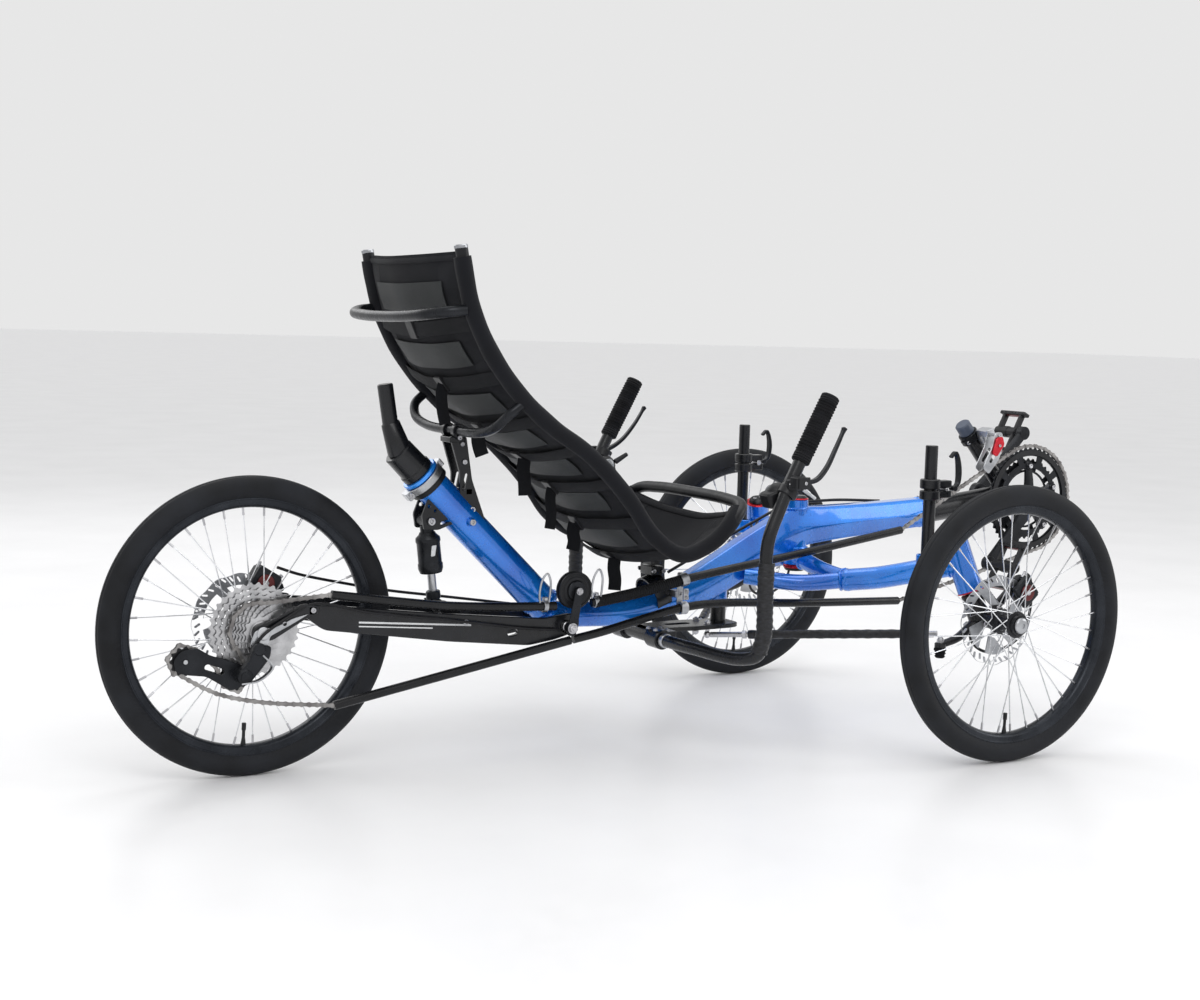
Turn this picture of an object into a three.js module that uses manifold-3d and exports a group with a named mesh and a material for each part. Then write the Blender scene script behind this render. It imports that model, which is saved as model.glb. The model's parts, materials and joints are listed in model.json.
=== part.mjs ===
// Recumbent adult tricycle: two steered front wheels, one sprung rear wheel, mesh sling seat.
// Millimetres. +X is the riding direction, +Y the rider's left, +Z up.
// Pieces are laid out from the point on the ground below the centre of the front axle.
import * as THREE from 'three';
import { mergeVertices } from 'three/addons/utils/BufferGeometryUtils.js';
import Module from 'manifold-3d';

const wasm = await Module();
wasm.setup();

// ---------------------------------------------------------------- driving dimensions
const GAP = 0.35;                 // air left between touching pieces
const WHEEL_RADIUS = 241;
const TYRE_HALF_WIDTH = 19;
const RIM_RADIUS = 206.5;         // outside of the rim, under the tyre
const WHEEL_FACETS = 32;
const SPOKES = 14;                // each stands for a crossed pair
const WHEELBASE = 1225;
const HALF_TRACK = 420;
const ROTOR_RADIUS = 80;
const ROTOR_OFFSET = 41;          // disc plane, inboard of the wheel plane
const STUB_RADIUS = 10;

const KINGPIN_LOW = [-17, 330, 284];
const KINGPIN_HIGH = [-40, 302, 382];
const STEERING_BALL = [-90, 340, 216];
const STEER_PIVOT_X = -330;
const STEER_POST_TOP = 238;
const INNER_BALL = [-365, 20, 178];
const CROSS_TUBE_Z = 186;

const MAST_LOW = [-690, 0, 243];
const MAST_HIGH = [-932, 0, 478];
const MAST_RADIUS = 30;
const COLUMN = [-161, 0];
const SWING_PIVOT = [-680, 218];
const SHOCK_TOP = [-920, 402];
const SHOCK_BOTTOM = [-902, 260];

const CHAIN_PLANE = 62;           // chain line, right of the centre plane
const CRANK_AXIS = [358, 414];
const CRANK_LENGTH = 170;
const PEDAL_OFFSET = 138;          // pedal centre, each side of the centre plane
const PEDAL_TILT = 63;             // degrees each pedal's front rail stands up at rest
const RING_RADIUS = 105;
const IDLER = [-668, 281];
const IDLER_RADIUS = 32;
const TUBE_RADIUS = 7.5;          // chain guide tubes

const POST = [-87, 290];
const POST_RADIUS = 11;
const POST_TOP = 541;
const SEAT_HALF_WIDTH = 188;
const SEAT_RAIL_RADIUS = 11;

// ---------------------------------------------------------------- solids
const vec = (p) => new THREE.Vector3(p[0], p[1], p[2]);

function toSolid(geometry) {
  const bare = geometry.clone();
  bare.deleteAttribute('normal');
  bare.deleteAttribute('uv');
  const merged = mergeVertices(bare, 1e-3);
  const place = merged.attributes.position;
  const corners = [];
  let volume = 0;
  const a = new THREE.Vector3();
  const b = new THREE.Vector3();
  const c = new THREE.Vector3();
  for (let i = 0; i < merged.index.count; i += 3) {
    const [p, q, r] = [0, 1, 2].map((k) => merged.index.getX(i + k));
    if (p === q || q === r || r === p) continue;
    a.fromBufferAttribute(place, p);
    b.fromBufferAttribute(place, q);
    c.fromBufferAttribute(place, r);
    volume += a.dot(b.cross(c));
    corners.push(p, q, r);
  }
  if (volume < 0) corners.reverse();
  return new wasm.Manifold(new wasm.Mesh({
    numProp: 3,
    vertProperties: new Float32Array(place.array),
    triVerts: new Uint32Array(corners),
  }));
}

function toGeometry(solid) {
  const mesh = solid.getMesh();
  const geometry = new THREE.BufferGeometry();
  geometry.setAttribute('position', new THREE.BufferAttribute(new Float32Array(mesh.vertProperties), 3));
  geometry.setIndex(new THREE.BufferAttribute(new Uint32Array(mesh.triVerts), 1));
  geometry.computeVertexNormals();
  return geometry;
}

const join = (...solids) => solids.reduce((whole, piece) => whole.add(piece));
const cut = (whole, ...tools) => tools.reduce((left, tool) => left.subtract(tool), whole);

// A round bar from one point to another; a second radius makes it taper.
function rod(from, to, radius, sides = 12, endRadius = radius) {
  const start = vec(from);
  const along = vec(to).sub(start);
  const geometry = new THREE.CylinderGeometry(endRadius, radius, along.length(), sides);
  const barAxis = new THREE.Vector3(0, 1, 0);
  const turn = new THREE.Quaternion().setFromUnitVectors(barAxis, along.clone().normalize());
  geometry.applyQuaternion(turn);
  geometry.translate(...start.addScaledVector(along, 0.5).toArray());
  return toSolid(geometry);
}

const box = (centre, size, turnY = 0) => toSolid(
  new THREE.BoxGeometry(...size).rotateY(turnY).translate(...centre));

const ball = (centre, radius, sides = 10) => toSolid(
  new THREE.SphereGeometry(radius, sides, Math.ceil(sides * 0.6)).translate(...centre));

// A round tube, or a flat band, swept through points.
function sweep(points, section, steps) {
  const path = new THREE.CatmullRomCurve3(points.map(vec), false, 'centripetal');
  return toSolid(new THREE.ExtrudeGeometry(section, { extrudePath: path, steps }));
}

function roundSection(radius, sides) {
  const corners = [];
  for (let i = 0; i < sides; i += 1) {
    const angle = ((i + 0.5) * 2 * Math.PI) / sides;
    corners.push(new THREE.Vector2(radius * Math.cos(angle), radius * Math.sin(angle)));
  }
  return new THREE.Shape(corners);
}

function flatSection(width, height) {
  const w = width / 2;
  const h = height / 2;
  return new THREE.Shape([[-w, -h], [w, -h], [w, h], [-w, h]].map((p) => new THREE.Vector2(...p)));
}

const tube = (points, radius, steps, sides = 10) => sweep(points, roundSection(radius, sides), steps);

// A plate cut to an outline in the XZ plane, between two lateral positions.
function plate(outline, low, high) {
  const shape = new THREE.Shape(outline.map((p) => new THREE.Vector2(...p)));
  const geometry = new THREE.ExtrudeGeometry(shape, { depth: high - low, bevelEnabled: false });
  return toSolid(geometry.rotateX(Math.PI / 2).translate(0, high, 0));
}

// A turned piece about a lateral axis: the profile is a closed list of [radius, y].
function turned(profile, centre, facets) {
  const points = [...profile, profile[0]].map((p) => new THREE.Vector2(...p));
  const geometry = new THREE.LatheGeometry(points, facets, Math.PI / facets);
  return toSolid(geometry.translate(...centre));
}

// Points along an arc, angles in degrees.
function arc(centre, radius, from, to, count) {
  return Array.from({ length: count + 1 }, (_, i) => {
    const angle = ((from + ((to - from) * i) / count) * Math.PI) / 180;
    return [centre[0] + radius * Math.cos(angle), centre[1] + radius * Math.sin(angle)];
  });
}

// A skin over rings that hold the same number of points.
function loft(rings) {
  const count = rings[0].length;
  const geometry = new THREE.BufferGeometry().setFromPoints(rings.flat());
  const index = [];
  for (let r = 0; r + 1 < rings.length; r += 1) {
    for (let i = 0; i < count; i += 1) {
      const a = r * count + i;
      const b = r * count + ((i + 1) % count);
      index.push(a, b, a + count, b, b + count, a + count);
    }
  }
  const last = (rings.length - 1) * count;
  for (let i = 1; i + 1 < count; i += 1) {
    index.push(0, i + 1, i, last, last + i, last + i + 1);
  }
  geometry.setIndex(index);
  return toSolid(geometry);
}

// ---------------------------------------------------------------- the scene graph
const trike = new THREE.Group();

const FINISHES = {
  blue: { color: 0x0a58c8, roughness: 0.25, metalness: 0.1 },
  black: { color: 0x14161a, roughness: 0.45, metalness: 0.1 },
  rubber: { color: 0x101216, roughness: 0.85, metalness: 0 },
  alloy: { color: 0xb8bcc0, roughness: 0.35, metalness: 0.9 },
  steel: { color: 0x8f9396, roughness: 0.4, metalness: 0.9 },
  mesh: { color: 0x17181b, roughness: 0.95, metalness: 0 },
};

function addGeometry(name, geometry, finish) {
  const part = new THREE.Mesh(geometry, new THREE.MeshStandardMaterial(FINISHES[finish]));
  part.name = name;
  trike.add(part);
}

const add = (name, solid, finish) => addGeometry(name, toGeometry(solid), finish);

// The left piece as modelled, and its mirror image on the right.
function addPair(name, solid, finish) {
  const left = toGeometry(solid);
  const right = left.clone().scale(1, -1, 1);
  right.setIndex([...left.index.array].reverse());
  right.computeVertexNormals();
  addGeometry(`${name}_left`, left, finish);
  addGeometry(`${name}_right`, right, finish);
}

// ---------------------------------------------------------------- frame
// Main tube stations: x, z of the centre, half height, half width.
const MAIN_TUBE = [
  [145, 389, 28, 28], [20, 380.5, 30, 28], [-100, 373, 34, 28], [-165, 366, 38, 28], [-240, 336, 36, 28],
  [-373, 268, 34, 28], [-450, 242, 28, 27], [-540, 226, 23, 26], [-700, 232, 24, 26],
];
const BOOM_RADIUS = 24;
const POST_TUBE_RADIUS = 15;       // derailleur post
const BOOM_SLOPE = (CRANK_AXIS[1] - MAIN_TUBE[0][1]) / (CRANK_AXIS[0] - MAIN_TUBE[0][0]);
const boomPoint = (x) => [x, 0, CRANK_AXIS[1] + BOOM_SLOPE * (x - CRANK_AXIS[0])];

function mainTube(grow) {
  const sides = 12;
  const rings = MAIN_TUBE.map(([x, z, high, wide], n) => {
    const before = MAIN_TUBE[Math.max(n - 1, 0)];
    const after = MAIN_TUBE[Math.min(n + 1, MAIN_TUBE.length - 1)];
    const slope = Math.atan2(before[1] - after[1], before[0] - after[0]);
    const past = n === 0 ? grow : (n === MAIN_TUBE.length - 1 ? -grow : 0);
    return Array.from({ length: sides }, (_, i) => {
      const angle = ((i + 0.5) * 2 * Math.PI) / sides;
      const up = (high + grow) * Math.sin(angle);
      const across = (wide + grow) * Math.cos(angle);
      return new THREE.Vector3(x + past - up * Math.sin(slope), across, z + up * Math.cos(slope));
    });
  });
  return loft(rings);
}

const column = (grow) => rod([...COLUMN, 296 - grow], [...COLUMN, 420 + grow], 21 + grow);
const pivotBoss = (grow) => rod(
  [SWING_PIVOT[0], -34 - grow, SWING_PIVOT[1]], [SWING_PIVOT[0], 34 + grow, SWING_PIVOT[1]], 21 + grow);

function mainTubeNode() {
  const bore = rod([SWING_PIVOT[0], -40, SWING_PIVOT[1]], [SWING_PIVOT[0], 40, SWING_PIVOT[1]], 10.5);
  const socket = rod(boomPoint(105), boomPoint(155), BOOM_RADIUS + GAP, 14);
  const steeringBoss = rod([STEER_PIVOT_X, 0, STEER_POST_TOP + 2 * GAP], [STEER_PIVOT_X, 0, 280], 16);
  return cut(join(mainTube(0), column(0), pivotBoss(0), steeringBoss), bore, socket);
}

// A point on the mast's axis, and a point that distance off it, up and forward.
function mastPoint(along, off = 0) {
  const low = vec(MAST_LOW);
  const axis = vec(MAST_HIGH).sub(low).normalize();
  const upForward = new THREE.Vector3(axis.z, 0, -axis.x);
  return low.addScaledVector(axis, along).addScaledVector(upForward, off).toArray();
}
const MAST_LENGTH = vec(MAST_HIGH).distanceTo(vec(MAST_LOW));
const mastTube = (grow) => rod(MAST_LOW, mastPoint(MAST_LENGTH + grow), MAST_RADIUS + grow, 16);

function mastNode() {
  const ear = [[-905, 434], [-870, 400], [-906, 387], [-932, 390], [-934, 412]];
  const ears = join(plate(ear, 15, 20), plate(ear, -20, -15));
  const bolt = rod([SHOCK_TOP[0], -24, SHOCK_TOP[1]], [SHOCK_TOP[0], 24, SHOCK_TOP[1]], 5);
  return cut(join(mastTube(0), ears, bolt), mainTube(GAP), pivotBoss(GAP));
}

function mastClampNode() {
  const band = rod(mastPoint(MAST_LENGTH - 26), mastPoint(MAST_LENGTH - 4), MAST_RADIUS + 6, 16);
  const lug = rod(mastPoint(MAST_LENGTH - 25, 36), mastPoint(MAST_LENGTH - 5, 36), 9, 8);
  return cut(join(band, lug), mastTube(GAP + 0.2));
}

function mastExtensionNode() {
  const plug = rod(mastPoint(MAST_LENGTH + GAP), mastPoint(MAST_LENGTH + 62), 26, 16);
  const neck = rod(mastPoint(MAST_LENGTH + 40), [-987, 0, 566], 21, 12, 17);
  const stub = rod([-984, 0, 545], [-998, 0, 628], 13, 12);
  return join(plug, neck, stub);
}

function axleBeam() {
  const fork = [-150, 150, 287];
  const spar = tube([[-28, 315, 334], [-75, 262, 316], [-118, 200, 297], fork], 20, 5, 8);
  const frontLeg = tube([fork, [-158, 80, 296], [-161, 0, 312]], 16, 3, 8);
  const rearLeg = tube([fork, [-215, 86, 276], [-305, 8, 284]], 15, 4, 8);
  const high = vec(KINGPIN_HIGH);
  const low = vec(KINGPIN_LOW);
  const past = high.clone().sub(low).normalize().multiplyScalar(30);
  const socket = rod(KINGPIN_LOW, KINGPIN_HIGH, 23, 10);
  const bore = rod(low.clone().sub(past).toArray(), high.clone().add(past).toArray(), 12.2, 8);
  const collar = rod([POST[0], POST[1] - 6, 318], [POST[0], POST[1] - 6, 348], 15, 8);
  const holeRadius = (POST_RADIUS + GAP) / Math.cos(Math.PI / 8);
  const hole = rod([POST[0], POST[1], 331], [POST[0], POST[1], 360], holeRadius, 8);
  const whole = cut(join(spar, ball(fork, 21, 8), frontLeg, rearLeg, socket, collar), bore, hole);
  return cut(whole, mainTube(GAP), column(GAP));
}

add('main_tube', mainTubeNode(), 'blue');
add('seat_mast', mastNode(), 'blue');
add('mast_clamp', mastClampNode(), 'alloy');
add('mast_extension', mastExtensionNode(), 'black');
addPair('axle_beam', axleBeam(), 'blue');

// The boom slides in the main tube and carries the bottom bracket and the derailleur post.
function boomNode() {
  const slide = rod(boomPoint(108), boomPoint(CRANK_AXIS[0] - 4), BOOM_RADIUS, 14);
  const shell = rod([CRANK_AXIS[0], -34, CRANK_AXIS[1]], [CRANK_AXIS[0], 34, CRANK_AXIS[1]], 22, 16);
  const spindleHole = rod([CRANK_AXIS[0], -60, CRANK_AXIS[1]], [CRANK_AXIS[0], 60, CRANK_AXIS[1]], 12.5);
  const post = rod([345, 0, 430], [232, 0, 560], POST_TUBE_RADIUS);
  return cut(join(slide, shell, post), spindleHole);
}

function frontDerailleurNode() {
  const post = rod([280, 0, 504.8], [226, 0, 566.9], POST_TUBE_RADIUS + GAP);
  const clamp = rod([262, 0, 525.5], [244, 0, 546.2], 20);
  const arm = box([262, -33, 545], [22, 40, 16]);
  const cage = [[226, 478], [242, 466], [266, 494], [276, 522], [272, 548], [254, 548], [248, 520]];
  const bridge = box([262, -62, 543], [14, 24, 8]);
  return join(cut(join(clamp, arm), post), plate(cage, -74, -72), plate(cage, -52, -50), bridge);
}

add('boom', boomNode(), 'black');
add('front_derailleur', frontDerailleurNode(), 'alloy');

// ---------------------------------------------------------------- seat
// Side rail stations: x, z from the headrest end to the front of the pan.
const SEAT_LINE = [
  [-955, 850], [-945, 800], [-932, 752], [-900, 688], [-850, 624], [-788, 570],
  [-712, 520], [-640, 450], [-588, 385], [-530, 352], [-470, 372], [-425, 412],
];

function seatFrame(grow) {
  const side = SEAT_LINE.map(([x, z]) => [x, SEAT_HALF_WIDTH, z]);
  const bow = [[-404, 172, 430], [-396, 120, 436], [-394, 0, 438]];
  const left = [...side, ...bow];
  const right = left.slice(0, -1).reverse().map(([x, y, z]) => [x, -y, z]);
  return tube([...left, ...right], SEAT_RAIL_RADIUS + grow, 36, 8);
}

// The woven sling hangs between the rails and sags below them.
function seatSlingNode() {
  const stations = SEAT_LINE.map(([x, z], n) => {
    const before = SEAT_LINE[Math.max(n - 1, 0)];
    const after = SEAT_LINE[Math.min(n + 1, SEAT_LINE.length - 1)];
    const along = new THREE.Vector2(after[0] - before[0], after[1] - before[1]).normalize();
    const half = SEAT_HALF_WIDTH - SEAT_RAIL_RADIUS - (n === SEAT_LINE.length - 1 ? 14 : 2);
    return { x, z, half, normal: [along.y, -along.x] };
  });
  const sag = 26;
  const thickness = 6;
  const across = [-1, -0.5, 0, 0.5, 1];
  const rings = stations.map(({ x, z, half, normal }) => {
    const point = (share, lift) => {
      const drop = sag * (1 - share * share) - lift;
      return new THREE.Vector3(x + normal[0] * drop, share * half, z + normal[1] * drop);
    };
    const upper = across.map((s) => point(s, thickness / 2));
    return [...upper, ...across.toReversed().map((s) => point(s, -thickness / 2))];
  });
  return loft(rings);
}

function pushBarNode() {
  const left = [[-943, 188, 751], [-968, 182, 748], [-992, 150, 743], [-1002, 80, 739]];
  const right = left.toReversed().map(([x, y, z]) => [x, -y, z]);
  return cut(tube([...left, [-1004, 0, 738], ...right], 9, 14, 8), seatFrame(GAP));
}

function seatCrossbarNode() {
  const left = [[-844, 188, 604], [-862, 184, 588], [-872, 160, 568], [-874, 110, 555]];
  const right = left.toReversed().map(([x, y, z]) => [x, -y, z]);
  return cut(tube([...left, [-874, 0, 552], ...right], 8, 12, 8), seatFrame(GAP));
}

function seatMountRearNode() {
  const leg = [[-868, 424], [-828, 384], [-818, 396], [-846, 470], [-858, 543], [-888, 543], [-868, 480]];
  const sides = join(plate(leg, 14, 20), plate(leg, -20, -14));
  const saddle = box([-874, 0, 538], [30, 40, 10]);
  const foot = box([-852, 0, 446], [20, 40, 12]);
  return cut(join(sides, saddle, foot), mastTube(GAP), rod([-874, -60, 552], [-874, 60, 552], 8.5 + GAP));
}

function seatMountFrontNode() {
  const strap = cut(box([-470, 0, 262], [34, 64, 72]), mainTube(GAP));
  const riser = box([-476, 0, 306], [26, 46, 34]);
  return join(strap, riser);
}

add('seat_frame', seatFrame(0), 'black');
add('seat_sling', seatSlingNode(), 'mesh');
add('seat_push_bar', pushBarNode(), 'black');
add('seat_crossbar', seatCrossbarNode(), 'black');
add('seat_mount_rear', seatMountRearNode(), 'black');
add('seat_mount_front', seatMountFrontNode(), 'black');

// ---------------------------------------------------------------- steering
const BAR_RADIUS = 11;
const BAR_TOP = [-335, 318, 622];
const GRIP_START = [-396, 318, 508];
const BAR_LEFT = [
  BAR_TOP, GRIP_START, [-428, 318, 440], [-450, 320, 385], [-453, 322, 300], [-453, 322, 232],
  [-456, 312, 198], [-468, 280, CROSS_TUBE_Z], [-490, 170, CROSS_TUBE_Z], [-496, 90, CROSS_TUBE_Z],
];

function steeringStemNode() {
  const post = rod([STEER_PIVOT_X, 0, CROSS_TUBE_Z + 4], [STEER_PIVOT_X, 0, STEER_POST_TOP], 14);
  const outline = [[-300, 24], [-320, 32], [-400, 36], [-470, 30], [-506, 30], [-506, -30], [-470, -30],
    [-400, -36], [-320, -32], [-300, -24]];
  const shape = new THREE.Shape(outline.map((p) => new THREE.Vector2(...p)));
  const bar = new THREE.ExtrudeGeometry(shape, { depth: 8, bevelEnabled: false });
  const blade = toSolid(bar.translate(0, 0, CROSS_TUBE_Z + 4));
  const clamps = join(
    box([-496, 60, CROSS_TUBE_Z], [34, 40, 34]),
    box([-496, -60, CROSS_TUBE_Z], [34, 40, 34]),
    box([-496, 0, CROSS_TUBE_Z + 8], [26, 90, 8]));
  const [ballX, ballY, ballZ] = INNER_BALL;
  const pin = (y) => rod([ballX, y, ballZ + 7], [ballX, y, CROSS_TUBE_Z + 8], 4, 8);
  const pins = join(pin(ballY), pin(-ballY));
  return cut(join(post, blade, clamps, pins), handlebar(GAP));
}

function handlebar(grow) {
  const right = BAR_LEFT.toReversed().map(([x, y, z]) => [x, -y, z]);
  return tube([...BAR_LEFT, ...right], BAR_RADIUS + grow, 36, 8);
}

function gripSolid() {
  const top = vec(BAR_TOP);
  const down = vec(GRIP_START).sub(top).normalize();
  const at = (along) => top.clone().addScaledVector(down, along).toArray();
  const bore = rod(at(-GAP), at(10), BAR_RADIUS + GAP, 8);
  return cut(rod(at(-6), at(118), 16, 10), handlebar(GAP), bore);
}

// Bar clamp with the shift pod beside it; the brake lever turns on its ears.
const LEVER_PIVOT = [-404, 346, 486];

function controlSolid() {
  const [x, y, z] = LEVER_PIVOT;
  const clamp = rod([-396, 318, 494], [-416, 318, 462], 17, 8);
  const ears = join(box([x - 4, y - 8, z], [26, 4, 20]), box([x - 4, y + 8, z], [26, 4, 20]));
  const web = join(box([x - 13, y, z], [8, 20, 20]), box([x - 8, y - 14, z - 4], [24, 12, 20]));
  const pod = box([-414, 288, 462], [52, 40, 34], -0.35);
  return cut(join(clamp, ears, web, pod), handlebar(GAP + 0.1));
}

function brakeLeverSolid() {
  const [x, y, z] = LEVER_PIVOT;
  const hub = rod([x, y - 5.5, z], [x, y + 5.5, z], 8, 8);
  const line = [[x, y, z], [x + 28, y - 2, z + 4], [x + 54, y - 10, z + 22], [x + 78, y - 18, z + 54],
    [x + 98, y - 22, z + 88]];
  const blade = tube(line, 4.5, 8, 6);
  return join(hub, blade);
}

function tieRodSolid() {
  const from = vec([INNER_BALL[0], INNER_BALL[1], INNER_BALL[2]]);
  const along = vec(STEERING_BALL).sub(from);
  const length = along.length();
  const at = (distance) => from.clone().addScaledVector(along, distance / length).toArray();
  const ends = rod(at(2), at(length - 3), 5, 8);
  return join(ends, rod(at(80), at(length - 40), 8, 8), ball(from.toArray(), 6.5, 8));
}

add('steering_stem', steeringStemNode(), 'black');
add('handlebar', handlebar(0), 'black');
addPair('grip', gripSolid(), 'rubber');
addPair('control', controlSolid(), 'black');
addPair('brake_lever', brakeLeverSolid(), 'black');
addPair('tie_rod', tieRodSolid(), 'black');

// ---------------------------------------------------------------- front wheels
function kingpinPoint(along) {
  const low = vec(KINGPIN_LOW);
  return low.addScaledVector(vec(KINGPIN_HIGH).sub(low).normalize(), along).toArray();
}
const KINGPIN_LENGTH = vec(KINGPIN_HIGH).distanceTo(vec(KINGPIN_LOW));

function knuckleSolid() {
  const pin = rod(kingpinPoint(-20), kingpinPoint(KINGPIN_LENGTH + 4), 11.1, 8);
  const cap = rod(kingpinPoint(KINGPIN_LENGTH + GAP + 0.5), kingpinPoint(KINGPIN_LENGTH + 9), 18, 8);
  const yoke = rod(kingpinPoint(-50), kingpinPoint(-GAP - 0.5), 19, 8);
  const stub = rod([0, 338, WHEEL_RADIUS], [0, HALF_TRACK + 21, WHEEL_RADIUS], STUB_RADIUS);
  const shoulder = rod([0, 340, WHEEL_RADIUS], [0, HALF_TRACK - ROTOR_OFFSET - 4, WHEEL_RADIUS], 17);
  const capStart = [0, HALF_TRACK + 20 + GAP + 0.3, WHEEL_RADIUS];
  const axleCap = rod(capStart, [0, HALF_TRACK + 27, WHEEL_RADIUS], 14, 12, 9);
  const arm = tube([[-12, 342, 236], [-52, 341, 207], [-90, 340, 196]], 7, 3, 8);
  const eye = rod([-90, 340, 191], [-90, 340, 200], 10, 8);
  const caliperArm = box([27, 356, 268], [16, 10, 62], 0.85);
  return join(pin, cap, yoke, stub, shoulder, axleCap, arm, eye, caliperArm);
}

// A brake caliper that straddles a disc, at an angle above the forward direction.
function caliperAt(axle, discY, angle, low, high) {
  const out = [Math.cos(angle), Math.sin(angle)];
  const at = (radius, y) => [axle[0] + out[0] * radius, y, axle[1] + out[1] * radius];
  const body = box(at(76, (low + high) / 2), [42, high - low, 46], -angle);
  const slot = box(at(62, discY), [46, 5, 60], -angle);
  return cut(body, slot);
}

function frontCaliper() {
  const discY = HALF_TRACK - ROTOR_OFFSET;
  return caliperAt([0, WHEEL_RADIUS], discY, 0.7, 362, 393);
}

addPair('knuckle', knuckleSolid(), 'black');
addPair('caliper', cut(frontCaliper(), knuckleSolid(), box([27, 356, 268], [17, 11, 63], 0.85)), 'black');

const FLAT = 1 / Math.cos(Math.PI / WHEEL_FACETS);

function tyreSolid(centre) {
  const half = [[WHEEL_RADIUS, 6], [232, 16.5], [217, TYRE_HALF_WIDTH], [RIM_RADIUS + GAP, 12.5]];
  const other = half.toReversed().map(([r, y]) => [r, -y]);
  return turned([...half, ...other].map(([r, y]) => [r * FLAT, y]), centre, WHEEL_FACETS);
}

function rimSolid(centre, flanges) {
  const half = [[RIM_RADIUS, 12.5], [189, 8]];
  const other = half.toReversed().map(([r, y]) => [r, -y]);
  const hoop = turned([...half, ...other].map(([r, y]) => [r * FLAT, y]), centre, WHEEL_FACETS);
  const spokes = Array.from({ length: SPOKES }, (_, i) => {
    const angle = (i * 2 * Math.PI) / SPOKES;
    const out = [Math.cos(angle), Math.sin(angle)];
    const point = (radius, y) => [centre[0] + radius * out[0], centre[1] + y, centre[2] + radius * out[1]];
    return rod(point(24, flanges[i % 2]), point(192, 0), 1.4, 3);
  });
  return join(hoop, ...spokes);
}

// Hub barrel with two spoke flanges and the brake disc; stations run from the disc side out.
function hubSolid(centre, discY, flanges, ends, bore) {
  const s = Math.sign(flanges[1] - flanges[0]);
  const profile = [[bore, ends[0]], [20, ends[0]], [22.5, flanges[0] - 3 * s], [22.5, flanges[0] + s],
    [15, flanges[0] + 5 * s], [15, flanges[1] - 5 * s], [22.5, flanges[1] - s], [22.5, flanges[1] + 2 * s],
    [18, ends[1]], [bore, ends[1]]];
  const barrel = turned(profile, centre, 12);
  const corners = (radius, count) => arc([0, 0], radius, 0, 360, count).slice(1);
  const circle = (radius, count) => corners(radius, count).map((p) => new THREE.Vector2(...p));
  const disc = new THREE.Shape(circle(ROTOR_RADIUS, 20));
  const windows = 6;
  for (let i = 0; i < windows; i += 1) {
    const start = (i * 360) / windows + 8;
    const end = ((i + 1) * 360) / windows - 8;
    const window = [...arc([0, 0], 62, start, end, 3), ...arc([0, 0], 28, end, start, 2)];
    disc.holes.push(new THREE.Path(window.map((p) => new THREE.Vector2(...p))));
  }
  disc.holes.push(new THREE.Path(circle(17, 6)));
  const flat = new THREE.ExtrudeGeometry(disc, { depth: 2, bevelEnabled: false });
  flat.rotateX(Math.PI / 2).translate(centre[0], centre[1] + discY + 1, centre[2]);
  return join(barrel, toSolid(flat));
}

const FRONT_CENTRE = [0, HALF_TRACK, WHEEL_RADIUS];
const FRONT_FLANGES = [-29, 10];
addPair('front_tyre', tyreSolid(FRONT_CENTRE), 'rubber');
addPair('front_rim', rimSolid(FRONT_CENTRE, FRONT_FLANGES), 'black');
const FRONT_ENDS = [-ROTOR_OFFSET - 3, 20];
const frontHub = hubSolid(FRONT_CENTRE, -ROTOR_OFFSET, FRONT_FLANGES, FRONT_ENDS, STUB_RADIUS + 0.4);
addPair('front_hub', frontHub, 'black');

// ---------------------------------------------------------------- rear wheel and swingarm
const REAR_CENTRE = [-WHEELBASE, 0, WHEEL_RADIUS];
const REAR_FLANGES = [30, -22];
const REAR_DISC = 43;
const AXLE_RADIUS = 6;
add('rear_tyre', tyreSolid(REAR_CENTRE), 'rubber');
add('rear_rim', rimSolid(REAR_CENTRE, REAR_FLANGES), 'black');
const rearHub = hubSolid(REAR_CENTRE, REAR_DISC, REAR_FLANGES, [REAR_DISC + 5, -27.5], AXLE_RADIUS + 0.4);
add('rear_hub', rearHub, 'black');

// Cassette: cogs step down outward, with the chain riding in the middle.
const CHAIN_COG = [-39.5, -51.5];
function cassetteNode() {
  const profile = [[AXLE_RADIUS + 0.4, -28.2], [78, -28.2], [78, -30.5], [64, -35], [57, CHAIN_COG[0]],
    [38, CHAIN_COG[0]], [38, CHAIN_COG[1]], [34, CHAIN_COG[1]], [22, -60.5], [AXLE_RADIUS + 0.4, -60.5]];
  return turned(profile, REAR_CENTRE, 14);
}
add('cassette', cassetteNode(), 'steel');

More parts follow.
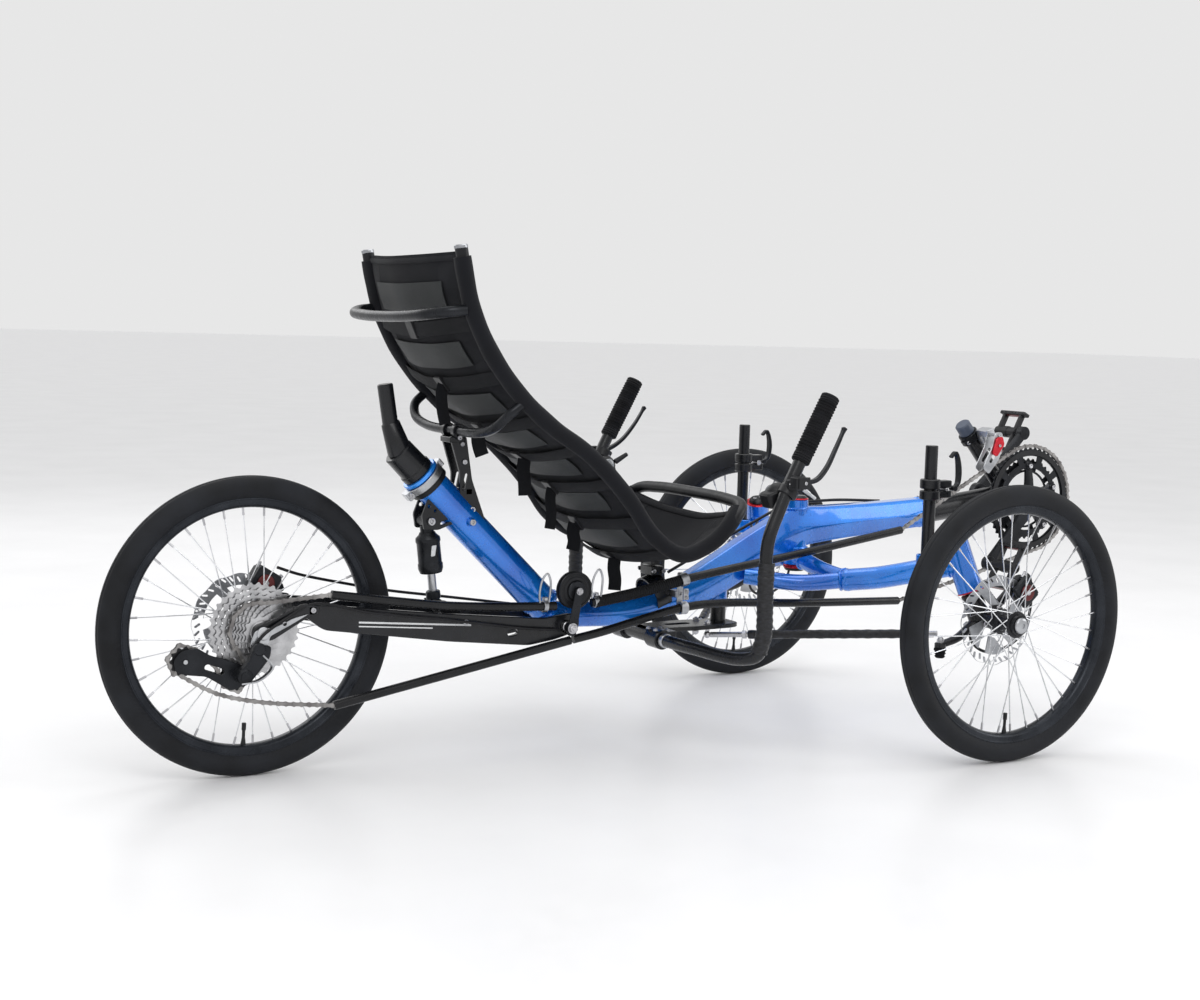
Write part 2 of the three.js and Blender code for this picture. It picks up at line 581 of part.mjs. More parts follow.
function swingarmNode() {
  const blade = [[-652, 230], [-668, 240], [-722, 234], [-905, 252], [-1105, 276], [-1148, 280], [-1158, 266],
    [-1119, 237], [-900, 205], [-750, 189], [-700, 196], [-656, 208]];
  const pivot = rod([SWING_PIVOT[0], -58, SWING_PIVOT[1]], [SWING_PIVOT[0], 58, SWING_PIVOT[1]], 10);
  const axle = rod([-WHEELBASE, -72, WHEEL_RADIUS], [-WHEELBASE, 72, WHEEL_RADIUS], AXLE_RADIUS, 10);
  const bridge = rod([-870, -50, 236], [-870, 50, 236], 9);
  const shockBolt = rod([SHOCK_BOTTOM[0], -24, SHOCK_BOTTOM[1]], [SHOCK_BOTTOM[0], 24, SHOCK_BOTTOM[1]], 5);
  const clevis = [[-914, 268], [-890, 268], [-860, 246], [-866, 230], [-884, 230]];
  const ears = join(plate(clevis, 15, 20), plate(clevis, -20, -15));
  const dropout = [[-1134, 280], [-1160, 284], [-1205, 262], [-1240, 250], [-1240, 232], [-1210, 228],
    [-1150, 262], [-1130, 270]];
  const blades = join(plate(blade, 47, 57), plate(blade, -57, -47));
  const dropouts = join(plate(dropout, 64, 70), plate(dropout, -70, -64));
  const joggles = join(box([-1143, 59, 272], [16, 22, 14]), box([-1143, -59, 272], [16, 22, 14]));
  return join(blades, dropouts, joggles, pivot, axle, bridge, shockBolt, ears);
}
add('swingarm', swingarmNode(), 'black');

function rearCaliperNode() {
  const body = caliperAt([-WHEELBASE, WHEEL_RADIUS], REAR_DISC, 1.02, 30, 62);
  const foot = plate([[-1190, 292], [-1150, 300], [-1148, 290], [-1186, 270]], 52, 60);
  const hose = tube([[-1158, 58, 312], [-1120, 60, 308], [-1040, 60, 292], [-960, 60, 276]], 2.5, 8, 6);
  return cut(join(body, foot, hose), swingarmNode(), box([-1143, 59, 272], [18, 24, 16]),
    plate([[-1138, 288], [-1160, 290], [-1205, 264], [-1150, 260]], 63.5, 71));
}
add('caliper_rear', rearCaliperNode(), 'black');

// ---------------------------------------------------------------- rear shock
function shockPoint(along) {
  const top = new THREE.Vector2(...SHOCK_TOP);
  const down = new THREE.Vector2(...SHOCK_BOTTOM).sub(top).normalize();
  const p = top.addScaledVector(down, along);
  return [p.x, 0, p.y];
}
const SHOCK_LENGTH = Math.hypot(SHOCK_TOP[0] - SHOCK_BOTTOM[0], SHOCK_TOP[1] - SHOCK_BOTTOM[1]);

function shockCanNode() {
  const eye = rod([SHOCK_TOP[0], -14.5, SHOCK_TOP[1]], [SHOCK_TOP[0], 14.5, SHOCK_TOP[1]], 12);
  const neck = rod(shockPoint(0), shockPoint(30), 12, 8);
  const can = rod(shockPoint(20), shockPoint(90), 21, 12);
  const bolt = rod([SHOCK_TOP[0], -20, SHOCK_TOP[1]], [SHOCK_TOP[0], 20, SHOCK_TOP[1]], 5.4);
  return cut(join(eye, neck, can), bolt, rod(shockPoint(28), shockPoint(95), 9.4));
}

function shockShaftNode() {
  const eye = rod([SHOCK_BOTTOM[0], -14.5, SHOCK_BOTTOM[1]], [SHOCK_BOTTOM[0], 14.5, SHOCK_BOTTOM[1]], 11);
  const shaft = rod(shockPoint(62), shockPoint(SHOCK_LENGTH - 4), 7);
  const bolt = rod([SHOCK_BOTTOM[0], -20, SHOCK_BOTTOM[1]], [SHOCK_BOTTOM[0], 20, SHOCK_BOTTOM[1]], 5.4);
  return cut(join(eye, shaft), bolt);
}
add('shock_can', shockCanNode(), 'black');
add('shock_shaft', shockShaftNode(), 'alloy');

// ---------------------------------------------------------------- drive train
function cranksetNode() {
  const [cx, cz] = CRANK_AXIS;
  const spindle = rod([cx, -80, cz], [cx, 84, cz], 12);
  const ring = (radius, y, width, facets) => turned(
    [[14, y], [radius, y], [radius, y + width], [14, y + width]], [cx, 0, cz], facets);
  const rings = join(ring(RING_RADIUS - 5, -64.5, 5, 24), ring(78, -56, 3, 16));
  const spider = rod([cx, -66, cz], [cx, -50, cz], 30);
  const reach = CRANK_LENGTH / Math.SQRT2;
  const side = (s) => {
    const y = 84 * s;
    const along = (share, offset) => [cx + s * reach * share, y + s * offset, cz + s * reach * share];
    return join(
      tube([along(0, 0), along(0.5, 2), along(1, 6)], 11, 3, 8),
      rod(along(1, -2), along(1, 14), 14),
      rod(along(0, -9), along(0, 9), 19),
      rod(along(1, 6), along(1, 72), 5, 8));
  };
  return join(spindle, rings, spider, side(1), side(-1));
}

function pedalSolid(side) {
  const reach = (CRANK_LENGTH / Math.SQRT2) * side;
  const centre = [CRANK_AXIS[0] + reach, side * PEDAL_OFFSET, CRANK_AXIS[1] + reach];
  const block = box(centre, [22, 56, 22]);
  const rail = (x) => box([centre[0] + x, centre[1], centre[2]], [8, 74, 20]);
  const web = (y) => box([centre[0], centre[1] + y, centre[2]], [84, 6, 16]);
  const hole = rod([centre[0], centre[1] - 60, centre[2]], [centre[0], centre[1] + 60, centre[2]], 5.6, 8);
  const level = cut(join(block, rail(-42), rail(42), web(-24), web(24)), hole);
  const home = centre.map((value) => -value);
  return level.translate(home).rotate([0, -PEDAL_TILT, 0]).translate(centre);
}

function idlerPulleyNode() {
  const [x, z] = IDLER;
  const profile = [[6.4, -69], [IDLER_RADIUS, -69], [IDLER_RADIUS, -66.5], [21, -66], [21, -58],
    [IDLER_RADIUS, -57.5], [IDLER_RADIUS, -55], [6.4, -55]];
  return turned(profile, [x, 0, z], 20);
}

function idlerBracketNode() {
  const [x, z] = IDLER;
  const strap = [[-690, 224], [-694, 200], [-672, 196], [-664, 222], [-656, 290], [-680, 290]];
  const arm = plate(strap, -82, -78);
  const pin = rod([x, -80, z], [x, -50, z], 6);
  const stand = rod([SWING_PIVOT[0], -80, SWING_PIVOT[1]], [SWING_PIVOT[0], -58.6, SWING_PIVOT[1]], 9);
  return join(arm, pin, stand);
}

const upperFrontPath = [
  [-634, -CHAIN_PLANE, 257], [-540, -68, 272], [-453, -70, 290], [-200, -66, 326], [39, -CHAIN_PLANE, 362],
];
const lowerFrontPath = [
  [-672, -70, 197], [-619, -70, 206], [-452, -70, 240], [-373, -70, 244], [-200, -68, 235],
  [39, -CHAIN_PLANE, 226],
];
const upperRearPath = [
  [-1106, -53, 293], [-1000, -58, 278], [-905, -61, 266], [-800, -62, 259], [-704, -CHAIN_PLANE, 255],
];
const lowerRearPath = [[-1104, -66, 116], [-900, -68, 154], [-678, -70, 195.8]];
add('chain_tube_upper_front', tube(upperFrontPath, TUBE_RADIUS, 12, 8), 'black');
add('chain_tube_lower_front', tube(lowerFrontPath, TUBE_RADIUS, 14, 8), 'black');
add('chain_tube_upper_rear', tube(upperRearPath, TUBE_RADIUS, 8, 8), 'black');
add('chain_tube_lower_rear', tube(lowerRearPath, TUBE_RADIUS, 4, 8), 'black');

function chainTubeClampNode() {
  const x = -452;
  const plateBody = box([x, -60, 264], [12, 6, 76]);
  const upperRing = rod([x - 7, -70, 288], [x + 7, -70, 292], 12);
  const rings = join(upperRing, rod([x - 7, -70, 240], [x + 7, -70, 240], 12));
  const foot = box([x, -46, 262], [16, 30, 14]);
  return cut(join(plateBody, rings, foot), tube(upperFrontPath, TUBE_RADIUS + GAP, 12, 8),
    tube(lowerFrontPath, TUBE_RADIUS + GAP, 14, 8), mainTube(GAP), seatMountFrontNode());
}
add('chain_tube_clamp', chainTubeClampNode(), 'alloy');

const CHAIN_WIDTH = 6;
const CHAIN_HEIGHT = 8;
const link = flatSection(CHAIN_WIDTH, CHAIN_HEIGHT);

function chainFrontNode() {
  const wrap = arc(CRANK_AXIS, RING_RADIUS + 0.5, 118, -80, 18).map(([x, z]) => [x, -CHAIN_PLANE, z]);
  const upper = [[42, -CHAIN_PLANE, 363.5], [170, -CHAIN_PLANE, 434]];
  const lower = [[220, -CHAIN_PLANE, 268], [42, -CHAIN_PLANE, 226.5]];
  return sweep([...upper, ...wrap, ...lower], link, 36);
}

function chainRearNode() {
  const y = (CHAIN_COG[0] + CHAIN_COG[1]) / 2;
  const cog = arc([-WHEELBASE, WHEEL_RADIUS], 44, 80, 225, 8).map(([x, z]) => [x, y, z]);
  const guide = arc([-1262, 172], 21, 30, -110, 5).map(([x, z]) => [x, y, z]);
  const tension = arc([-1343, 201], 22, 60, 250, 7).map(([x, z]) => [x, y, z]);
  const lower = [[-1290, y, 146], [-1220, -52, 128], [-1107, -66, 116.5]];
  return sweep([[-1109, -53, 293], ...cog, ...guide, [-1300, y, 196], ...tension, ...lower], link, 44);
}
add('chain_front', chainFrontNode(), 'steel');
add('chain_rear', chainRearNode(), 'steel');
add('idler_bracket', idlerBracketNode(), 'alloy');
add('idler_pulley', idlerPulleyNode(), 'black');
add('crankset', cranksetNode(), 'black');
add('pedal_left', pedalSolid(1), 'black');
add('pedal_right', pedalSolid(-1), 'black');

function rearDerailleurNode() {
  const cage = [[-1270, 150], [-1248, 160], [-1252, 186], [-1325, 222], [-1358, 214], [-1362, 192],
    [-1346, 184]];
  const outer = plate(cage, -56, -53);
  const inner = plate(cage, -42, -40.6);
  const upperPulley = rod([-1343, -56, 201], [-1343, -41, 201], 15);
  const pulleys = join(upperPulley, rod([-1262, -56, 172], [-1262, -41, 172], 14));
  const body = [[-1240, 226], [-1214, 222], [-1218, 196], [-1240, 170], [-1262, 168], [-1266, 182],
    [-1244, 200]];
  const pivot = rod([-1256, -84, 176], [-1256, -50, 176], 11);
  const dropoutSpace = [[-1250, 260], [-1120, 300], [-1120, 240], [-1205, 227.5], [-1241, 231]];
  return cut(join(outer, inner, pulleys, plate(body, -84, -62), pivot), plate(dropoutSpace, -70.4, -60));
}
add('rear_derailleur', rearDerailleurNode(), 'black');

// ---------------------------------------------------------------- accessory posts
function accessoryPostSolid() {
  const [x, y] = POST;
  const shaft = rod([x, y, 332], [x, y, POST_TOP], POST_RADIUS);
  const clamp = join(rod([x, y, 446], [x, y, 482], 18), box([x + 28, y, 464], [34, 22, 32]));
  return join(shaft, clamp);
}

function postLeverSolid() {
  const [x, y] = POST;
  const line = [[x + 50, y + 4, 464], [x + 60, y + 2, 474], [x + 62, y, 505], [x + 54, y, 528],
    [x + 44, y, 520]];
  return tube(line, 4.5, 12, 6);
}
addPair('accessory_post', accessoryPostSolid(), 'black');
addPair('post_lever', postLeverSolid(), 'black');

// ---------------------------------------------------------------- held cables on the frame
function cableHarnessNode() {
  const trunk = [[-420, 34, 288], [-330, 34, 330], [-240, 33, 372], [-161, 32, 404], [-60, 33, 412],
    [60, 33, 408]];
  const leftBrake = [[-240, 33, 372], [-190, 90, 330], [-130, 170, 322], [-92, 232, 336], [-62, 268, 346]];
  return join(tube(trunk, 3, 12, 6), tube(leftBrake, 3, 8, 6));
}
add('cable_harness', cut(cableHarnessNode(), column(GAP), mainTube(GAP)), 'rubber');

// ---------------------------------------------------------------- origin below the middle of the whole
const extent = new THREE.Box3().setFromObject(trike);
trike.position.x = -(extent.min.x + extent.max.x) / 2;
trike.position.z = -extent.min.z;

export default trike;
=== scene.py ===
import json
import math

import bmesh
import bpy
from mathutils import Matrix, Vector
from mathutils.geometry import tessellate_polygon

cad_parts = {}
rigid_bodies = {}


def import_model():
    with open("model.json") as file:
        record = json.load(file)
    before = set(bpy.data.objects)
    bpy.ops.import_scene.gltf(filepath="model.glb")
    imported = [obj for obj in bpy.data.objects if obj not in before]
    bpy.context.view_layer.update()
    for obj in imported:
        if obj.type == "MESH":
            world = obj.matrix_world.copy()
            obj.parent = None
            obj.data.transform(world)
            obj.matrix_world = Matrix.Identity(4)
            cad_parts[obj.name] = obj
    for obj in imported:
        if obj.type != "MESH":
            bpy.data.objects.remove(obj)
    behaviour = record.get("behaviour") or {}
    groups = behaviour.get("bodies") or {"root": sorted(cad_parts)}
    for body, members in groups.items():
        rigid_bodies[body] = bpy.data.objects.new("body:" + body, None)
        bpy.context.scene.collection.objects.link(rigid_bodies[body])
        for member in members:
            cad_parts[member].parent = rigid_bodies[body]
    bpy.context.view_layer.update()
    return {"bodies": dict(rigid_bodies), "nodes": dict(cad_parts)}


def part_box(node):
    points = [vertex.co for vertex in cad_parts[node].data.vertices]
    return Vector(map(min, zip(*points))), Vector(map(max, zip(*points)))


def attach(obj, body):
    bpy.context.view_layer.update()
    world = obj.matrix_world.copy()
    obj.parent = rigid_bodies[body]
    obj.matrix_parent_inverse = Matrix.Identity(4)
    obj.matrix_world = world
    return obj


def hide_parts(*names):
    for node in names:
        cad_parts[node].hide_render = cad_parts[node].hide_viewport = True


# Recumbent tricycle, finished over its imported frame. Sizes in this script are millimetres, laid out
# from the point on the ground below the front axle: +X forward, +Y to the rider's left, +Z up.
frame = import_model()
tyre_low, tyre_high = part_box("front_tyre_left")
AXLE_X = (tyre_low.x + tyre_high.x) / 2

WHEEL_RADIUS = 241
HALF_TRACK = 420
WHEELBASE = 1225
# Landmarks: the rear wheel's, crank's and idler's axes, pivots, and the feet of the column and the left post.
REAR_HUB = (-WHEELBASE, 0, WHEEL_RADIUS)
CRANK = (358, 0, 414)
IDLER = (-668, 0, 281)
ARM_PIVOT = (-680, 0, 218)
SHOCK_TOP, SHOCK_LOW = (-920, 0, 402), (-902, 0, 260)
COLUMN = (-161, 0, 297)
POST = (-87, 290, 332)
CRANK_REACH = 170 / math.sqrt(2)
CHAIN_Y = -62
CHAIN_PITCH = 12.7


def tipped_way(direction, angle):
    """A direction turned about the sideways axis, angle in degrees."""
    return Matrix.Rotation(math.radians(angle), 3, "Y") @ Vector(direction)


def beside(landmark, y):
    """The landmark's place at another distance to the left."""
    return (landmark[0], y, landmark[2])


def above(landmark, z):
    """The landmark's place at another height."""
    return (landmark[0], landmark[1], z)


def polar(centre, radius, angle, y=None):
    """A point on a circle in the wheel plane, angle in degrees from forward, upward positive."""
    a = math.radians(angle)
    side = centre[1] if y is None else y
    return Vector((centre[0] + radius * math.cos(a), side, centre[2] + radius * math.sin(a)))


# ------------------------------------------------------------------ shapes
class Shape:
    """A closed skin: points, faces, and a surface measure in metres at each face corner."""

    def __init__(self, points, faces, measures=None):
        self.points = [Vector(p) for p in points]
        self.faces = [tuple(f) for f in faces]
        self.measures = measures or [[(0.0, 0.0)] * len(f) for f in self.faces]
        volume = 0.0
        for face in self.faces:
            a = self.points[face[0]]
            for b, c in zip(face[1:], face[2:]):
                volume += a.dot(self.points[b].cross(self.points[c]))
        if volume < 0:
            self.flip()

    def flip(self):
        self.faces = [f[::-1] for f in self.faces]
        self.measures = [m[::-1] for m in self.measures]

    def mirrored(self):
        return Shape([(p.x, -p.y, p.z) for p in self.points], self.faces, self.measures)

    def moved(self, matrix):
        return Shape([matrix @ p for p in self.points], self.faces, self.measures)


def even_points(points, count, closed=False):
    """Evenly spaced points on the smooth centripetal curve through the given ones."""
    knots = [Vector(p) for p in points]
    if len(knots) == 2:
        return [knots[0].lerp(knots[1], i / (count - 1)) for i in range(count)]
    if closed:
        knots = [knots[-1]] + knots + [knots[0], knots[1]]
    else:
        knots = [2 * knots[0] - knots[1]] + knots + [2 * knots[-1] - knots[-2]]
    fine = []
    for a, b, c, d in zip(knots, knots[1:], knots[2:], knots[3:]):
        s0, s1, s2 = (max((q - p).length, 1e-6) ** 0.5 for p, q in ((a, b), (b, c), (c, d)))
        leave = ((b - a) / s0 - (c - a) / (s0 + s1) + (c - b) / s1) * s1
        arrive = ((c - b) / s1 - (d - b) / (s1 + s2) + (d - c) / s2) * s1
        for i in range(16):
            t = i / 16
            fine.append(b * (2 * t**3 - 3 * t**2 + 1) + c * (3 * t**2 - 2 * t**3)
                        + leave * (t**3 - 2 * t**2 + t) + arrive * (t**3 - t**2))
    fine.append(knots[-2])
    run = [0.0]
    for p, q in zip(fine, fine[1:]):
        run.append(run[-1] + (q - p).length)
    spaced = []
    at = 0
    for i in range(count):
        goal = run[-1] * i / (count if closed else count - 1)
        while at + 2 < len(run) and run[at + 1] < goal:
            at += 1
        share = (goal - run[at]) / max(run[at + 1] - run[at], 1e-9)
        spaced.append(fine[at].lerp(fine[at + 1], min(share, 1.0)))
    return spaced


def sweep(line, section, across=None, closed=False, grow=None):
    """A section of (side, up) points carried along a line; grow scales it at each share of the way."""
    line = [Vector(p) for p in line]
    count, ring = len(line), len(section)
    side = None
    points, run = [], [0.0]
    for i, p in enumerate(line):
        before = line[i - 1] if i or closed else p
        after = line[(i + 1) % count] if i + 1 < count or closed else p
        ahead = (after - before).normalized()
        if across is not None:
            side = Vector(across) - ahead * ahead.dot(Vector(across))
        elif side is None:
            side = ahead.orthogonal()
        else:
            side = side - ahead * ahead.dot(side)
        side.normalize()
        up = ahead.cross(side)
        scale = grow(i / (count - 1)) if grow else 1.0
        points += [p + (side * s + up * u) * scale for s, u in section]
        if i:
            run.append(run[-1] + (p - line[i - 1]).length)
    girth = [0.0]
    for k in range(ring):
        girth.append(girth[-1] + (Vector(section[(k + 1) % ring]) - Vector(section[k])).length)
    faces, measures = [], []
    for i in range(count if closed else count - 1):
        j = (i + 1) % count
        far = run[j] if j else run[-1] + (line[0] - line[-1]).length
        for k in range(ring):
            m = (k + 1) % ring
            faces.append((i * ring + k, i * ring + m, j * ring + m, j * ring + k))
            measures.append([(girth[k] / 1000, run[i] / 1000), (girth[k + 1] / 1000, run[i] / 1000),
                             (girth[k + 1] / 1000, far / 1000), (girth[k] / 1000, far / 1000)])
    if not closed:
        for start in (0, (count - 1) * ring):
            faces.append(tuple(range(start, start + ring)))
            measures.append([(s / 1000, u / 1000) for s, u in section])
    return Shape(points, faces, measures)


def circle(radius, sides, wide=1.0):
    return [(radius * wide * math.cos(2 * math.pi * i / sides), radius * math.sin(2 * math.pi * i / sides))
            for i in range(sides)]


def tube(points, radius, count=40, sides=18):
    return sweep(even_points(points, count), circle(radius, sides))


def bevelled(wide, narrow, high, low):
    """A flat eight-sided section: half widths at its sides and faces, half heights at its faces and sides."""
    return [(-wide, -low), (-narrow, -high), (narrow, -high), (wide, -low),
            (wide, low), (narrow, high), (-narrow, high), (-wide, low)]


def strap(points, width, thick, across=(0, 1, 0), count=24):
    """A flat band with soft edges."""
    w, t = width / 2, thick / 2
    return sweep(even_points(points, count), bevelled(w, w - t, t, t * 0.3), across=across)


def turned(profile, centre=(0, 0, 0), axis=(0, 1, 0), segments=48, ring=False):
    """A lathe piece: (radius, along) points from axis to axis, or round a closed ring section."""
    along = Vector(axis).normalized()
    side = along.orthogonal().normalized()
    if abs(along.y) > 0.99:
        side = Vector((1, 0, 0))
    up = along.cross(side)
    middle = Vector(centre)
    widest = max(r for r, _ in profile)
    points, rows = [], []
    for radius, height in profile:
        base = middle + along * height
        if radius < 1e-6:
            rows.append([len(points)] * segments)
            points.append(base)
            continue
        rows.append(list(range(len(points), len(points) + segments)))
        for i in range(segments):
            a = 2 * math.pi * i / segments
            points.append(base + (side * math.cos(a) + up * math.sin(a)) * radius)
    run = [0.0]
    for p, q in zip(profile, profile[1:] + profile[:1]):
        run.append(run[-1] + (Vector(q) - Vector(p)).length)
    faces, measures = [], []
    for n in range(len(profile) if ring else len(profile) - 1):
        low, high = rows[n], rows[(n + 1) % len(profile)]
        for i in range(segments):
            j = (i + 1) % segments
            u, v = (2 * math.pi * widest * k / segments / 1000 for k in (i, i + 1))
            corners = [
                (low[i], u, run[n]), (low[j], v, run[n]), (high[j], v, run[n + 1]),
                (high[i], u, run[n + 1])]
            unique = [c for k, c in enumerate(corners) if c[0] != corners[k - 1][0]]
            if len(unique) > 2:
                faces.append(tuple(c[0] for c in unique))
                measures.append([(c[1], c[2] / 1000) for c in unique])
    return Shape(points, faces, measures)


def bar(start, end, radius, end_radius=None, chamfer=0.8, segments=28):
    """A round bar with broken edges, straight or tapered; six segments make it a hexagon."""
    a, b = Vector(start), Vector(end)
    length = (b - a).length
    far = radius if end_radius is None else end_radius
    profile = [
        (0, 0), (radius - chamfer, 0), (radius, chamfer), (far, length - chamfer), (far - chamfer, length),
        (0, length)]
    return turned(profile, a, b - a, segments)


def sleeve(start, end, radius, bore, chamfer=0.8, segments=32):
    """A round ring or collar with a hole through it."""
    a, b = Vector(start), Vector(end)
    length = (b - a).length
    profile = [(bore, 0), (radius - chamfer, 0), (radius, chamfer), (radius, length - chamfer),
               (radius - chamfer, length), (bore, length)]
    return turned(profile, a, b - a, segments, ring=True)


def ball(centre, radius, segments=24, flat=1.0, axis=(0, 1, 0)):
    steps = segments // 2
    profile = [(radius * math.sin(math.pi * i / steps), -radius * flat * math.cos(math.pi * i / steps))
               for i in range(steps + 1)]
    profile[0] = (0, profile[0][1])
    profile[-1] = (0, profile[-1][1])
    return turned(profile, centre, axis, segments)


def rounded(outline, radius):
    """The outline with its corners rounded."""
    steps = 4
    corners = [Vector(p[:2]) for p in outline]
    result = []
    for i, corner in enumerate(corners):
        before, after = corners[i - 1], corners[(i + 1) % len(corners)]
        back, on = before - corner, after - corner
        cut = min(radius, back.length * 0.45, on.length * 0.45)
        start, end = corner + back.normalized() * cut, corner + on.normalized() * cut
        for k in range(steps + 1):
            t = k / steps
            result.append(tuple(start * (1 - t) ** 2 + corner * 2 * t * (1 - t) + end * t**2))
    return result


def inset(loop, amount):
    """A loop moved inward (to its left when it runs anticlockwise) by an amount."""
    corners = [Vector(p) for p in loop]
    result = []
    for i, corner in enumerate(corners):
        d1 = (corner - corners[i - 1]).normalized()
        d2 = (corners[(i + 1) % len(corners)] - corner).normalized()
        n1, n2 = Vector((-d1.y, d1.x)), Vector((-d2.y, d2.x))
        bisector = n1 + n2
        scale = amount / max(bisector.length_squared / 2, 0.35)
        result.append(tuple(corner + bisector * scale))
    return result


def area_of(loop):
    return sum(p[0] * q[1] - q[0] * p[1] for p, q in zip(loop, loop[1:] + loop[:1])) / 2


def upright(a, b, h):
    """Plate coordinates to a plate that stands in the wheel plane."""
    return (a, h, b)


def lying(a, b, h):
    """Plate coordinates to a plate that lies level."""
    return (a, b, h)


def plate(outline, low, high, holes=(), chamfer=0.6, corner=0, place=upright):
    """A flat plate with holes and broken edges."""
    outer = rounded(outline, corner) if corner else [tuple(p[:2]) for p in outline]
    loops = [outer if area_of(outer) > 0 else outer[::-1]]
    for hole in holes:
        hole = [tuple(p[:2]) for p in hole]
        loops.append(hole if area_of(hole) < 0 else hole[::-1])
    inner = [inset(loop, chamfer) for loop in loops]
    levels = [(inner, low), (loops, low + chamfer), (loops, high - chamfer), (inner, high)]
    points, starts = [], []
    for rings, height in levels:
        starts.append(len(points))
        for ring in rings:
            points += [place(a, b, height) for a, b in ring]
    faces, measures = [], []
    for n in range(3):
        offset = 0
        for ring in loops:
            for i in range(len(ring)):
                j = (i + 1) % len(ring)
                low_row, high_row = starts[n] + offset, starts[n + 1] + offset
                faces.append((low_row + i, low_row + j, high_row + j, high_row + i))
                measures.append([(levels[n][1] / 1000, i / 1000)] * 4)
            offset += len(ring)
    flat = [Vector((a, b, 0)) for ring in inner for a, b in ring]
    for triangle in tessellate_polygon([[Vector((a, b, 0)) for a, b in ring] for ring in inner]):
        p, q, r = (flat[k] for k in triangle)
        if (q - p).cross(r - p).z < 0:
            triangle = triangle[::-1]
        faces.append(tuple(starts[3] + k for k in triangle))
        faces.append(tuple(starts[0] + k for k in triangle[::-1]))
        measures += [[(flat[k].x / 1000, flat[k].y / 1000) for k in triangle]] * 2
    return Shape(points, faces, measures)


def twin_plates(outline, low, high, holes=(), corner=0, chamfer=0.6):
    """The same upright plate on the left and on the right."""
    return [plate(outline, near, far, holes, chamfer, corner) for near, far in ((low, high), (-high, -low))]


def slot_outline(a, b, radius, steps=6):
    """A slot between two points of a plate."""
    p, q = Vector(a), Vector(b)
    along = (q - p).normalized() if (q - p).length > 1e-6 else Vector((1, 0))
    start = math.atan2(along.y, along.x)
    ends = []
    for middle, base in ((q, start - math.pi / 2), (p, start + math.pi / 2)):
        for i in range(steps + 1):
            angle = base + math.pi * i / steps
            ends.append((middle.x + radius * math.cos(angle), middle.y + radius * math.sin(angle)))
    return ends


def ring_outline(centre, radius, sides=20):
    return [(centre[0] + radius * math.cos(2 * math.pi * i / sides),
             centre[1] + radius * math.sin(2 * math.pi * i / sides)) for i in range(sides)]


def block(centre, size, corner=2.0, chamfer=0.8, facing=None):
    """A block with rounded upright edges; facing turns it about its own centre."""
    w, d, h = (s / 2 for s in size)
    corner = min(corner, w * 0.8, d * 0.8)
    matrix = Matrix.Translation(Vector(centre)) @ (facing or Matrix.Identity(4))
    return plate([(-w, -d), (w, -d), (w, d), (-w, d)], -h, h, corner=corner, chamfer=min(chamfer, h * 0.4),
                 place=lying).moved(matrix)


def lean(angle):
    """A turn about the sideways axis in degrees; a positive angle lifts the front end."""
    return Matrix.Rotation(math.radians(-angle), 4, "Y")


# ------------------------------------------------------------------ pieces
finishes = {}


def mesh_from(name, shapes, sharp, unit=True):
    points, faces, measures = [], [], []
    for shape in shapes:
        start = len(points)
        points += shape.points
        faces += [tuple(start + i for i in f) for f in shape.faces]
        measures += shape.measures
    if unit:
        points = [(p.x / 1000 + AXLE_X, p.y / 1000, p.z / 1000) for p in points]
    mesh = bpy.data.meshes.new(name)
    mesh.from_pydata(points, [], faces)
    layer = mesh.uv_layers.new(name="surface")
    for polygon, corners in zip(mesh.polygons, measures):
        for loop, corner in zip(polygon.loop_indices, corners):
            layer.data[loop].uv = corner
    shade(mesh, sharp)
    return mesh


def shade(mesh, sharp):
    """Smooth faces, with the edges sharper than the angle kept crisp."""
    work = bmesh.new()
    work.from_mesh(mesh)
    limit = math.radians(sharp)
    for edge in work.edges:
        edge.smooth = not edge.is_manifold or edge.calc_face_angle(0) < limit
    for face in work.faces:
        face.smooth = True
    work.to_mesh(mesh)
    work.free()


def settle(obj, body, finish, replaces=()):
    """Gives a finished piece its material, its body and the CAD nodes that it stands for."""
    if not obj.data.materials:
        obj.data.materials.append(finishes[finish][0])
    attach(obj, body)
    if replaces:
        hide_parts(*replaces)
    return obj


def piece(name, body, finish, shapes, replaces=(), sharp=40):
    own = name + "_skin" if name in frame["nodes"] else name
    obj = bpy.data.objects.new(own, mesh_from(own, shapes, sharp))
    bpy.context.scene.collection.objects.link(obj)
    return settle(obj, body, finish, replaces)


def pair(name, body, finish, shapes, replaces=None, sharp=40):
    """The same piece on the left and, mirrored, on the right."""
    for side, parts in (("left", shapes), ("right", [s.mirrored() for s in shapes])):
        own = body if body in frame["bodies"] else f"{body}_{side}"
        piece(f"{name}_{side}", own, finish, parts, [f"{replaces}_{side}"] if replaces else (), sharp)


# ------------------------------------------------------------------ what repeats
def new_tree(name, inputs):
    """A geometry tree with named inputs; returns it with its input node and socket names."""
    tree = bpy.data.node_groups.new(name, "GeometryNodeTree")
    tree.interface.new_socket("Geometry", in_out="INPUT", socket_type="NodeSocketGeometry")
    keys = {}
    for label, kind in inputs:
        keys[label] = tree.interface.new_socket(label, in_out="INPUT", socket_type=kind).identifier
    tree.interface.new_socket("Geometry", in_out="OUTPUT", socket_type="NodeSocketGeometry")
    return tree, tree.nodes.new("NodeGroupInput"), keys


def math_node(tree, operation, *values):
    node = tree.nodes.new("ShaderNodeMath")
    node.operation = operation
    for socket, value in zip(node.inputs, values):
        if isinstance(value, (int, float)):
            socket.default_value = value
        else:
            tree.links.new(value, socket)
    return node.outputs[0]


